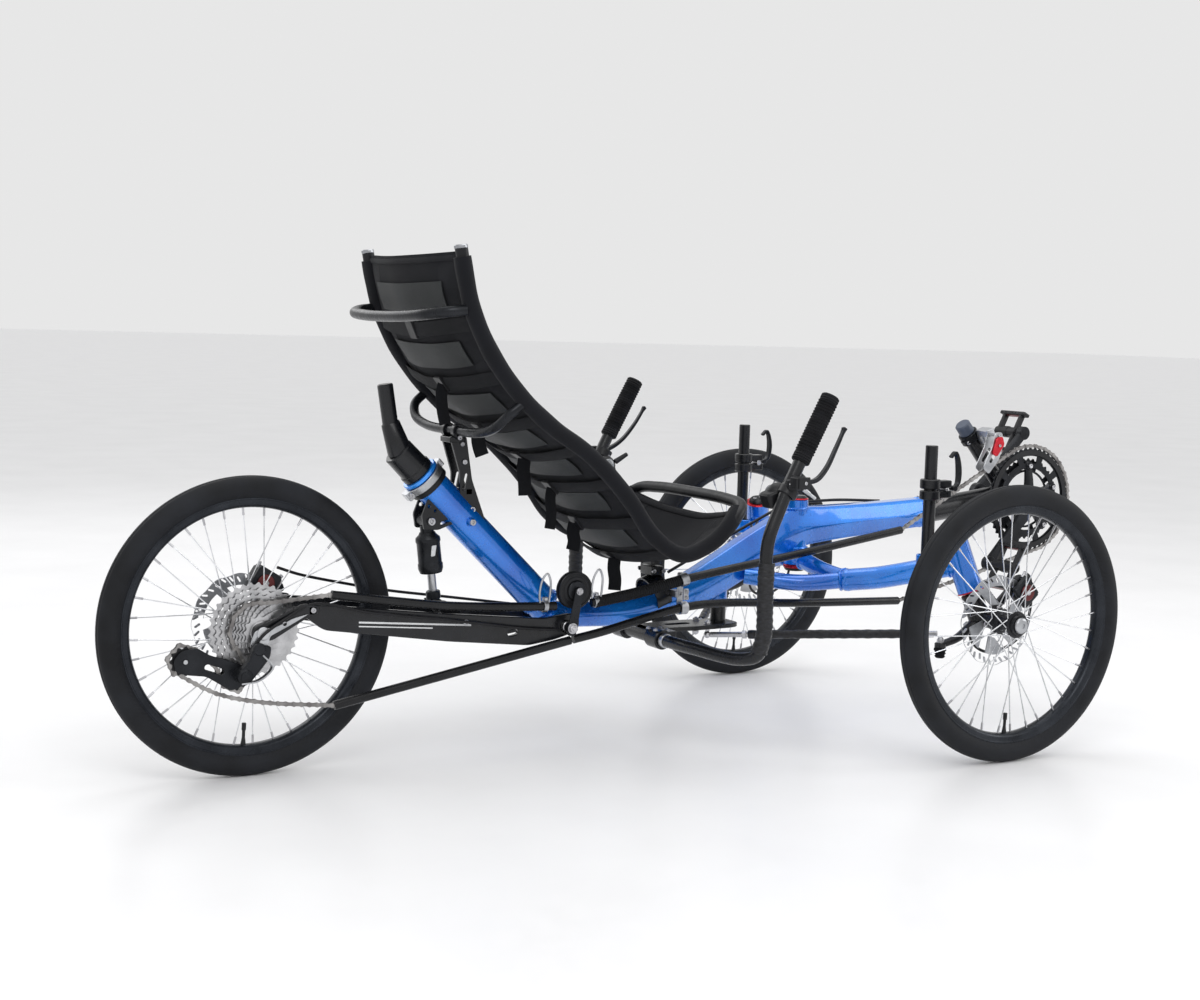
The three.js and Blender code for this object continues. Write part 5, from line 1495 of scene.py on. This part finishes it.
for label, mirror in (("left", 1), ("right", -1)):
    body_parts, cap, metal = caliper((0, 0, WHEEL_RADIUS), 379, 0.7, 362, 393, 393)
    flip = lambda parts: parts if mirror > 0 else [s.mirrored() for s in parts]
    own = f"knuckle_{label}"
    piece(f"caliper_{label}", own, "black_alloy", flip(body_parts), [f"caliper_{label}"])
    piece(f"caliper_cap_{label}", own, "maroon_alloy", flip(cap))
    piece(f"caliper_metal_{label}", own, "bolt_steel", flip(metal))
    hose = [
        (62, 377, 322), (80, 372, 312), (92, 366, 268), (84, 360, 214), (50, 354, 186), (4, 350, 180),
        (-22, 344, 198), (-24, 338, 226)]
    piece(f"brake_hose_{label}", own, "cable_cover", flip([tube(hose, 2.6, 60, 14)]))

# ------------------------------------------------------------------ swingarm, shock and rear brake
arm_plan = [
    (-652, 230), (-668, 240), (-722, 234), (-905, 252), (-1105, 276), (-1148, 280), (-1158, 266),
    (-1119, 237), (-900, 205), (-750, 189), (-700, 196), (-656, 208)]
dropout = [
    (-1134, 280), (-1160, 284), (-1205, 262), (-1240, 250), (-1240, 232), (-1210, 228), (-1150, 262),
    (-1130, 270)]
arm_holes = [ring_outline((-680, 218), 9.9, 28), slot_outline((-786, 212), (-776, 214), 5)]
piece("swingarm", "swingarm", "black_powder", [
    *twin_plates(arm_plan, 47, 57, arm_holes, 9, 1.4), *twin_plates(dropout, 64, 70, corner=6, chamfer=1.0),
    block((-1143, 59, 272), (17, 22, 13), 3), block((-1143, -59, 272), (17, 22, 13), 3),
    bar((-870, -50, 236), (-870, 50, 236), 9, chamfer=0.8, segments=32),
    bar(beside(ARM_PIVOT, -58), beside(ARM_PIVOT, 58), 9.8, chamfer=1.0, segments=32),
    *twin_plates([(-914, 268), (-890, 268), (-860, 246), (-866, 230), (-884, 230)], 15, 20, corner=4)], [
        "swingarm"])
piece("arm_stripe", "swingarm", "white_print", [
    plate([(-1060, 248), (-860, 232), (-860, 229), (-1060, 245)], -57.35, -56.9, chamfer=0.1),
    plate([(-1060, 241), (-930, 230.6), (-930, 228.6), (-1060, 239)], -57.35, -56.9, chamfer=0.1)])
piece("rear_axle", "swingarm", "satin_alloy", [
    bar(beside(REAR_HUB, -72), beside(REAR_HUB, 72), 6, chamfer=0.8, segments=24),
    bar(beside(REAR_HUB, -76), beside(REAR_HUB, -70), 10.5, chamfer=1.2, segments=32),
    bar(beside(REAR_HUB, 70), beside(REAR_HUB, 76), 10.5, chamfer=1.2, segments=32)])
piece("derailleur_hanger", "swingarm", "satin_alloy", [
    plate([
        (-1150, 268), (-1176, 262), (-1206, 250), (-1238, 246), (-1246, 226), (-1232, 216), (-1216, 224),
        (-1214, 236), (-1180, 252)], -73, -70.2, [
            ring_outline((-1225, 241), 6.4, 20), ring_outline((-1190, 254), 3, 14)], corner=5)])
arm_marks = [
    (beside(ARM_PIVOT, -58), (0, -1, 0), 10), (beside(SHOCK_LOW, -20), (0, -1, 0), 6.4),
    ((-1143, -70, 273), (0, -1, 0), 4.4), ((-870, -57, 236), (0, -1, 0), 5)]
at_marks("arm_bolts", "swingarm", "bolt_steel", both_sides(arm_marks), socket_bolt)

parts, cap, metal = caliper(REAR_HUB, 43, 1.02, 30, 62, 30)
piece("caliper_rear", "swingarm", "black_alloy", parts + [
    plate([(-1190, 292), (-1150, 300), (-1146, 288), (-1186, 268)], 52, 60, corner=4)], ["caliper_rear"])
piece("caliper_rear_cap", "swingarm", "maroon_alloy", cap)
piece("caliper_rear_metal", "swingarm", "bolt_steel", metal)
piece("rear_hose", "swingarm", "cable_cover", [
    tube([
        (-1160, 50, 326), (-1120, 56, 312), (-1040, 60, 293), (-960, 60, 277), (-860, 60, 262),
        (-740, 60, 244), (-700, 60, 238)], 2.5, 90, 14)])

SHOCK_AXIS = (Vector(SHOCK_LOW) - Vector(SHOCK_TOP)).normalized()
down = lambda d: Vector(SHOCK_TOP) + SHOCK_AXIS * d
can_profile = [
    (8, 20), (13, 20), (15, 24), (20.4, 29), (21, 32), (21, 36), (19.8, 38), (19.8, 72), (21, 74), (21, 82),
    (18.5, 89), (9.6, 90), (9.6, 30), (8, 30)]
piece("shock_can", "shock_can", "black_alloy", [
    turned(can_profile, SHOCK_TOP, SHOCK_AXIS, 56, ring=True),
    bar(down(8), down(26), 11.5, chamfer=1, segments=32),
    sleeve(beside(SHOCK_TOP, -14.3), beside(SHOCK_TOP, 14.3), 12, 5.6, 1.0, 36)], ["shock_can"])
piece("shock_mark", "shock_can", "white_print", [
    plate([(a, b) for a, b in ((-917.5, 361), (-909, 362), (-911.4, 344), (-918.6, 343))], -20.35, -19.4,
        chamfer=0.1, corner=2)])
piece("shock_shaft", "shock_shaft", "satin_alloy", [
    bar(down(62), down(128), 7, chamfer=0.8, segments=32)], ["shock_shaft"])
piece("shock_foot", "shock_shaft", "black_alloy", [
    bar(down(120), down(134), 12, 12.6, 1.6, 40),
    sleeve(beside(SHOCK_LOW, -14.3), beside(SHOCK_LOW, 14.3), 11, 5.6, 1.0, 36)])


# ------------------------------------------------------------------ drive train
def toothed(radius, teeth, depth=4.2):
    """A sprocket's outline with rounded valleys between its teeth."""
    loop = []
    for i in range(teeth):
        for share, lift in ((0.0, -depth * 0.55), (0.16, -depth * 0.42), (0.3, 0.0), (0.42, depth * 0.42),
                (0.58, depth * 0.42), (0.7, 0.0), (0.84, -depth * 0.42)):
            a = 2 * math.pi * (i + share) / teeth
            loop.append(((radius + lift) * math.cos(a), (radius + lift) * math.sin(a)))
    return loop


def sprocket(centre, teeth, low, high, bore, windows=0, window_low=0, window_high=0):
    radius = CHAIN_PITCH / (2 * math.sin(math.pi / teeth))
    holes = [ring_outline((0, 0), bore, 30)]
    for i in range(windows):
        a0, a1 = 2 * math.pi * (i + 0.14) / windows, 2 * math.pi * (i + 0.86) / windows
        arc = [
            (window_high * math.cos(a0 + (a1 - a0) * k / 6), window_high * math.sin(a0 + (a1 - a0) * k / 6))
            for k in range(7)]
        arc += [
            (window_low * math.cos(a1 - (a1 - a0) * k / 6), window_low * math.sin(a1 - (a1 - a0) * k / 6))
            for k in range(7)]
        holes.append(arc)
    return plate(toothed(radius, teeth), low, high, holes, chamfer=0.3).moved(
        Matrix.Translation(Vector((centre[0], 0, centre[2]))))


COGS = [36, 32, 28, 24, 21, 19, 17, 15, 13]
cogs = []
for n, teeth in enumerate(COGS):
    y = -28.6 - n * 3.9
    radius = CHAIN_PITCH / (2 * math.sin(math.pi / teeth))
    cogs.append(sprocket(REAR_HUB, teeth, y - 1.9, y, 19, 8 if teeth > 23 else 0, 27, radius - 9))
piece("cassette", "cassette", "cog_steel",
    cogs + [
        sleeve(beside(REAR_HUB, -60.4), beside(REAR_HUB, -28.4), 20, 7, 0.8, 40),
        sleeve(beside(REAR_HUB, -62.6), beside(REAR_HUB, -60), 17, 8, 0.6, 40)], ["cassette"], sharp=25)

cx, cz = CRANK[0], CRANK[2]
big = sprocket(CRANK, 50, CHAIN_Y - 1.6, CHAIN_Y + 1.4, 62, 10, 72, 86)
middle = sprocket(CRANK, 39, -55.4, -53.0, 54, 10, 58, 68)
spider_arms = []
for i in range(5):
    tip = polar(CRANK, 66, 72 * i + 20, -60)
    spider_arms.append(sweep([polar(CRANK, 14, 72 * i + 20, -64), polar(CRANK, 40, 72 * i + 20, -63), tip],
                             bevelled(9, 7, 3.6, 2.6),
                             across=polar((0, 0, 0), 1, 72 * i + 110), grow=lambda t: 1.25 - 0.4 * t))
    spider_arms.append(bar(polar(CRANK, 66, 72 * i + 20, -66), polar(CRANK, 66, 72 * i + 20, -53), 8.4,
        chamfer=1, segments=24))


def crank_arm(s):
    spot = lambda share, offset: Vector(
        (cx + s * CRANK_REACH * share, s * (84 + offset), cz + s * CRANK_REACH * share))
    across = Vector((1, 0, -1))
    section = bevelled(11, 9, 7, 4)
    return [
        sweep(even_points([spot(0, 0), spot(0.5, 2), spot(1, 6)], 30), section, across=across,
            grow=lambda t: 1.28 - 0.42 * math.sin(math.pi * min(t * 1.1, 1) / 2)),
        bar(spot(1, -1), spot(1, 13), 14, chamfer=1.6, segments=40),
        bar(spot(0, -9), spot(0, 9), 19, chamfer=1.8, segments=44)]


piece("crankset", "crankset", "black_alloy", [
    big, middle, bar((cx, -80, cz), (cx, 84, cz), 12, chamfer=0.8, segments=36),
    sleeve((cx, -66, cz), (cx, -50, cz), 24, 11, 1.2, 40)] + spider_arms + crank_arm(1) + crank_arm(-1),
    ["crankset"], sharp=30)


def pedal_axis(s, y):
    """A point of a pedal's axis, y out from the middle; s is 1 for the left pedal, -1 for the right."""
    return (cx + s * CRANK_REACH, s * y, cz + s * CRANK_REACH)


piece("pedal_spindles", "crankset", "satin_alloy",
      [bar(pedal_axis(s, 96), pedal_axis(s, 155), 5, chamfer=0.6, segments=24) for s in (1, -1)]
      + [sleeve(pedal_axis(s, 89.4), pedal_axis(s, 88.4), 8, 4, 0.3, 28) for s in (1, -1)])
ring_bolts = [(polar(CRANK, 66, 72 * i + 20, -66), (0, -1, 0), 4.6) for i in range(5)]
ring_bolts += [(polar(CRANK, 66, 72 * i + 20, -53), (0, 1, 0), 4.6) for i in range(5)]
at_marks("ring_bolts", "crankset", "bolt_steel",
    ring_bolts + [((cx, -93, cz), (0, -1, 0), 7), ((cx, 93, cz), (0, 1, 0), 7)], socket_bolt)
piece("bash_ring", "crankset", "black_plastic", [sleeve((cx, -66.4, cz), (cx, -64.2, cz), 98, 88, 0.6, 96)])

tooth = copied("pedal_tooth", [bar((0, 0, 0), (0, 0, 3.2), 1.7, 1.0, 0.3, 8)])
PEDAL_TILT = -63
for label, s in (("left", 1), ("right", -1)):
    px, py, pz = pedal_axis(s, 138)
    here = Vector((px, py, pz))
    tipped = (Matrix.Translation(here) @ Matrix.Rotation(math.radians(PEDAL_TILT), 4, "Y")
              @ Matrix.Translation(-here))
    rails = []
    for rx in (-42, 42):
        rails.append(block((px + rx, py, pz), (7.6, 74, 17), 3, 1.6))
    webs = [block((px, py + wy, pz), (84, 7, 14), 3, 1.6) for wy in (-24, 24)]
    core = [
        sleeve((px, py - 30, pz), (px, py + 30, pz), 10.6, 5.8, 1.6, 36),
        sleeve((px, py - 7, pz), (px, py + 7, pz), 12, 5.8, 1.4, 36)]
    piece(f"pedal_{label}", f"pedal_{label}", "black_plastic", [
        part.moved(tipped) for part in rails + webs + core], [f"pedal_{label}"])
    teeth = []
    for rx in (-42, 42):
        for k in range(7):
            for up in (1, -1):
                spot = tipped @ Vector((px + rx, py - 30 + 10 * k, pz + 6.4 * up))
                teeth.append((spot, tipped_way((0, 0, up), PEDAL_TILT), 1.0))
    at_marks(f"pedal_teeth_{label}", f"pedal_{label}", "black_alloy", teeth, tooth)
    piece(f"pedal_reflectors_{label}", f"pedal_{label}", "maroon_alloy", [
        block((px + rx * 0.985, py, pz), (9.0, 40, 9), 1.5, 0.6).moved(tipped) for rx in (-42, 42)])

idler_profile = [
    (6.4, -69), (12, -69.4), (13, -68), (17, -68), (18, -69.4), (23, -69.4), (24, -68), (27, -68),
    (28, -69.4), (31, -69.2), (32, -68), (32, -66.5), (29, -66), (21, -65.4), (21, -58.6), (29, -58),
    (32, -57.5), (32, -55.6), (31, -55), (6.4, -55)]
piece("idler_pulley", "idler", "black_plastic", [turned(idler_profile, IDLER, segments=72, ring=True)], [
    "idler_pulley"], sharp=25)
piece("idler_bracket", "frame", "black_alloy", [
    plate([(-688, 222), (-690, 206), (-674, 204), (-670, 222), (-661, 280), (-675, 284)], -82, -78.4,
        corner=6), bar(beside(IDLER, -80), beside(IDLER, -50), 5.9, chamfer=0.6, segments=28),
    bar(beside(ARM_PIVOT, -80), beside(ARM_PIVOT, -70), 9, chamfer=0.8, segments=28)], ["idler_bracket"])
piece("idler_cap", "idler", "black_alloy", [
    sleeve(beside(IDLER, -69.2), beside(IDLER, -74), 17, 6.6, 1.4, 44)])
at_marks("idler_bolts", "frame", "bolt_steel", [
    (beside(IDLER, -82), (0, -1, 0), 5), (beside(ARM_PIVOT, -82), (0, -1, 0), 7.5)], hex_nut)


def wire_hoop(x, z):
    line = [
        (x - 9, -66, z), (x - 11, -68, z + 18), (x - 7, -70, z + 40), (x + 1, -71, z + 50),
        (x + 8, -70, z + 38), (x + 9, -68, z + 16), (x + 8, -66, z)]
    return tube(line, 1.9, 40, 12)


def tube_band(x, z, slope=0.1):
    return [
        sleeve((x - 4, -62, z - 4 * slope), (x + 4, -62, z + 4 * slope), 10.4, 7.8, 0.6, 32),
        block((x, -63, z + 13), (7, 12, 6), 2)]


for label, own, line, count in (
        ("upper_front", "frame",
         [(-634, -62, 257), (-540, -68, 272), (-453, -70, 290), (-200, -66, 326), (39, -62, 362)], 110),
        ("lower_front", "frame",
         [(-672, -70, 197), (-619, -70, 206), (-452, -70, 240), (-373, -70, 244), (-200, -68, 235),
          (39, -62, 226)], 120),
        ("upper_rear", "swingarm",
         [(-1106, -53, 293), (-1000, -58, 278), (-905, -61, 266), (-800, -62, 259), (-704, -62, 255)], 80),
        ("lower_rear", "swingarm", [(-1104, -66, 116), (-900, -68, 154), (-678, -70, 195.8)], 60)):
    piece(f"chain_tube_{label}", own, "guide_plastic", [tube(line, 7.5, count, 22)], [f"chain_tube_{label}"])
piece("chain_tube_cover", "frame", "grip_rubber", [
    tube([(-628, -62.5, 258), (-600, -64, 262), (-540, -68, 272), (-462, -70, 288)], 9.8, 60, 24)])
piece("tube_bands_front", "frame", "satin_alloy", tube_band(-626, 259) + [wire_hoop(-626, 266)])
piece("tube_bands_rear", "swingarm", "satin_alloy", tube_band(-725, 256, -0.05) + [wire_hoop(-727, 263)])
piece("chain_tube_clamp", "frame", "satin_alloy", [
    plate([(-458, 226), (-446, 226), (-446, 302), (-458, 302)], -61, -57.6, [
        ring_outline((-452, 264), 3, 14)], corner=3),
    sleeve((-459, -70, 288.2), (-445, -70, 291.8), 11.6, 8, 0.8, 36),
    sleeve((-459, -70, 240), (-445, -70, 240), 11.6, 8, 0.8, 36), block((-452, -46, 262), (14, 24, 12), 3),
    block((-452, -78, 265), (10, 6, 20), 2)], ["chain_tube_clamp"])
at_marks("tube_clamp_bolts", "frame", "bolt_steel", [
    ((-452, -81, 270), (0, -1, 0), 3.6), ((-452, -81, 259), (0, -1, 0), 3.6)], socket_bolt)


def arc_points(centre, radius, start, end, count, y):
    return [polar(centre, radius, start + (end - start) * i / count, y) for i in range(count + 1)]


front_run = [Vector((42, -62, 363.5)), Vector((170, -62, 434))] + arc_points(CRANK, 105.5, 118, -80, 18,
    -62) + [Vector((220, -62, 268)), Vector((42, -62, 226.5))]
cog_y = -45.5
rear_run = [Vector((-1109, -53, 293))] + arc_points(REAR_HUB, 44, 80, 225, 8, cog_y) + arc_points(
    (-1262, 0, 172), 21, 30, -110, 5, cog_y)
rear_run += [Vector((-1300, cog_y, 196))] + arc_points((-1343, 0, 201), 22, 60, 250, 7, cog_y)
rear_run += [Vector((-1290, cog_y, 146)), Vector((-1220, -52, 128)), Vector((-1107, -66, 116.5))]
along_line("chain_front", "frame", "chain_steel", even_points(front_run, 500), chain_link,
    pitch=2 * CHAIN_PITCH, replaces=["chain_front"])
along_line("chain_rear", "swingarm", "chain_steel", even_points(rear_run, 500), chain_link,
    pitch=2 * CHAIN_PITCH, replaces=["chain_rear"])

cage = [
    (-1270, 150), (-1248, 160), (-1246, 180), (-1262, 194), (-1300, 206), (-1325, 222), (-1350, 218),
    (-1362, 204), (-1358, 186), (-1340, 180), (-1310, 176)]
cage_windows = [
    slot_outline((-1308, 190), (-1286, 182), 5), ring_outline((-1262, 172), 4, 16),
    ring_outline((-1343, 201), 4, 16)]
piece("rear_derailleur", "swingarm", "black_alloy", [
    plate(cage, -56, -53.6, cage_windows, corner=7, chamfer=0.5),
    plate(cage, -42, -40.4, cage_windows, corner=7, chamfer=0.4),
    plate([
        (-1240, 226), (-1214, 222), (-1216, 204), (-1232, 184), (-1246, 168), (-1262, 168), (-1266, 182),
        (-1250, 200)], -82, -66, corner=6, chamfer=2.2),
    bar((-1256, -84, 176), (-1256, -50, 176), 12, chamfer=2, segments=36),
    bar((-1234, -84, 218), (-1234, -71, 218), 10, chamfer=1.6, segments=32),
    bar((-1256, -86, 176), (-1256, -83, 176), 8, chamfer=1, segments=28)], ["rear_derailleur"])
piece("derailleur_links", "swingarm", "satin_alloy", [
    sweep(even_points([(-1228, -79, 208), (-1214, -84, 190), (-1236, -84, 170), (-1262, -80, 166)], 24),
          [(-5, -1.2), (5, -1.2), (5, 1.2), (-5, 1.2)], across=(0, 1, 0)),
    bar((-1262, -58, 172), (-1262, -40, 172), 3.6, chamfer=0.5, segments=20),
    bar((-1343, -58, 201), (-1343, -40, 201), 3.6, chamfer=0.5, segments=20)])
piece("jockey_wheels", "swingarm", "black_plastic", [
    plate(toothed(21.5, 11, 4), -50, -47, [ring_outline((0, 0), 4, 16)] + [
        ring_outline((11 * math.cos(2 * math.pi * i / 5), 11 * math.sin(2 * math.pi * i / 5)), 2.6, 12)
        for i in range(5)], chamfer=0.4).moved(Matrix.Translation(Vector((px, 0, pz))))
    for px, pz in ((-1343, 201), (-1262, 172))])
piece("shift_cable", "swingarm", "cable_cover", [
    tube([
        (-1240, -74, 222), (-1226, -78, 240), (-1190, -74, 262), (-1140, -66, 282), (-1040, -64, 262),
        (-900, -64, 242), (-760, -64, 220), (-700, -64, 214)], 2.4, 110, 14)])

# ------------------------------------------------------------------ accessory posts and held cables
pair("accessory_post", "frame", "black_powder", [
    bar(above(POST, 332), above(POST, 541), 11, chamfer=1.0, segments=40),
    sleeve(above(POST, 446), above(POST, 462), 18, 11.2, 1.6, 44),
    sleeve(above(POST, 465), above(POST, 482), 18, 11.2, 1.6, 44),
    block((-60, 290, 455), (30, 20, 13), 4, 1.6), block((-60, 290, 473), (30, 20, 13), 4, 1.6)],
    "accessory_post")
pair("post_fittings", "frame", "bolt_steel", [
    bar((-58, 278.4, 464), (-58, 301.6, 464), 3, chamfer=0.5, segments=18),
    bar((-58, 276, 464), (-58, 280, 464), 5.6, chamfer=0.6, segments=6),
    sleeve((-100, 290, 348.4), (-74, 290, 348.4), 1.6, 0.8, 0.3, 12)])
lever_line = even_points([
    (-37, 294, 464), (-27, 292, 474), (-25, 290, 505), (-33, 290, 528), (-43, 290, 520)], 44)
pair("post_lever", "post_lever", "black_alloy", [
    sweep(lever_line, bevelled(6, 4.6, 3, 1.6), across=(0, 1, 0),
          grow=lambda t: 0.78 + 0.3 * math.sin(math.pi * min(1, t * 1.2))),
    bar((-37, 286, 465), (-37, 300, 465), 5, chamfer=0.8, segments=24)], "post_lever")

trunk = [(-420, 34, 288), (-330, 36, 330), (-240, 35, 372), (-161, 33, 404), (-60, 33, 412), (60, 33, 408)]
left_brake = [(-240, 35, 372), (-190, 90, 330), (-130, 170, 322), (-92, 232, 336), (-62, 268, 346)]
piece("cable_harness", "frame", "cable_cover", [tube(trunk, 2.8, 90, 16), tube(left_brake, 2.6, 60, 14)], [
    "cable_harness"])

for master in masters:
    bpy.data.objects.remove(master)

# ------------------------------------------------------------------ floor, light and camera
floor_mesh = bpy.data.meshes.new("floor")
floor_mesh.from_pydata([(-60, -60, 0), (60, -60, 0), (60, 60, 0), (-60, 60, 0)], [], [(0, 1, 2, 3)])
floor = bpy.data.objects.new("floor", floor_mesh)
bpy.context.scene.collection.objects.link(floor)
floor_paint = Paint("studio_floor", "alloy", Specular_IOR_Level=0.4)
floor_paint.coloured(
    floor_paint.ramp(floor_paint.noise(3, 2), (0.3, (0.86, 0.86, 0.87)), (0.7, (0.90, 0.90, 0.91))))
floor_paint.rough(floor_paint.span(floor_paint.noise(30, 3), 0.3, 0.7, 0.3, 0.4))
floor_mesh.materials.append(floor_paint.material)

world = bpy.data.worlds.new("studio")
bpy.context.scene.world = world
world.use_nodes = True
world.node_tree.nodes["Background"].inputs["Color"].default_value = (1, 1, 1, 1)
world.node_tree.nodes["Background"].inputs["Strength"].default_value = 0.8


def softbox(name, where, towards, size, power):
    light = bpy.data.lights.new(name, "AREA")
    light.shape = "RECTANGLE"
    light.size, light.size_y = size
    light.energy = power
    lamp = bpy.data.objects.new(name, light)
    lamp.location = where
    lamp.rotation_euler = (Vector(towards) - Vector(where)).to_track_quat("-Z", "Y").to_euler()
    bpy.context.scene.collection.objects.link(lamp)


softbox("key_softbox", (-1.6, -2.8, 3.2), (0, 0, 0.3), (2.6, 1.6), 42)
softbox("top_softbox", (0.6, 0.3, 3.6), (0, 0, 0.3), (3.4, 2.2), 38)
softbox("front_softbox", (3.2, -1.8, 1.8), (0.2, 0, 0.3), (1.6, 1.8), 22)
softbox("back_softbox", (-1.0, 3.4, 2.4), (0, 0, 0.4), (2.8, 1.6), 20)

yaw, pitch, roll = math.radians(29.82), math.radians(-5.61), math.radians(1.67)
ahead = Vector((math.sin(yaw) * math.cos(pitch), math.cos(yaw) * math.cos(pitch), math.sin(pitch)))
level = Vector((math.cos(yaw), -math.sin(yaw), 0))
over = level.cross(ahead)
right = level * math.cos(roll) + over * math.sin(roll)
up = -level * math.sin(roll) + over * math.cos(roll)
lens = bpy.data.cameras.new("camera")
lens.lens = 53.64
lens.sensor_width = 36
camera = bpy.data.objects.new("camera", lens)
camera.matrix_world = Matrix((
    (right.x, up.x, -ahead.x, -2.142 + AXLE_X),
    (right.y, up.y, -ahead.y, -2.713),
    (right.z, up.z, -ahead.z, 0.735),
    (0, 0, 0, 1)))
bpy.context.scene.collection.objects.link(camera)
bpy.context.scene.camera = camera
bpy.context.scene.view_settings.view_transform = "Standard"
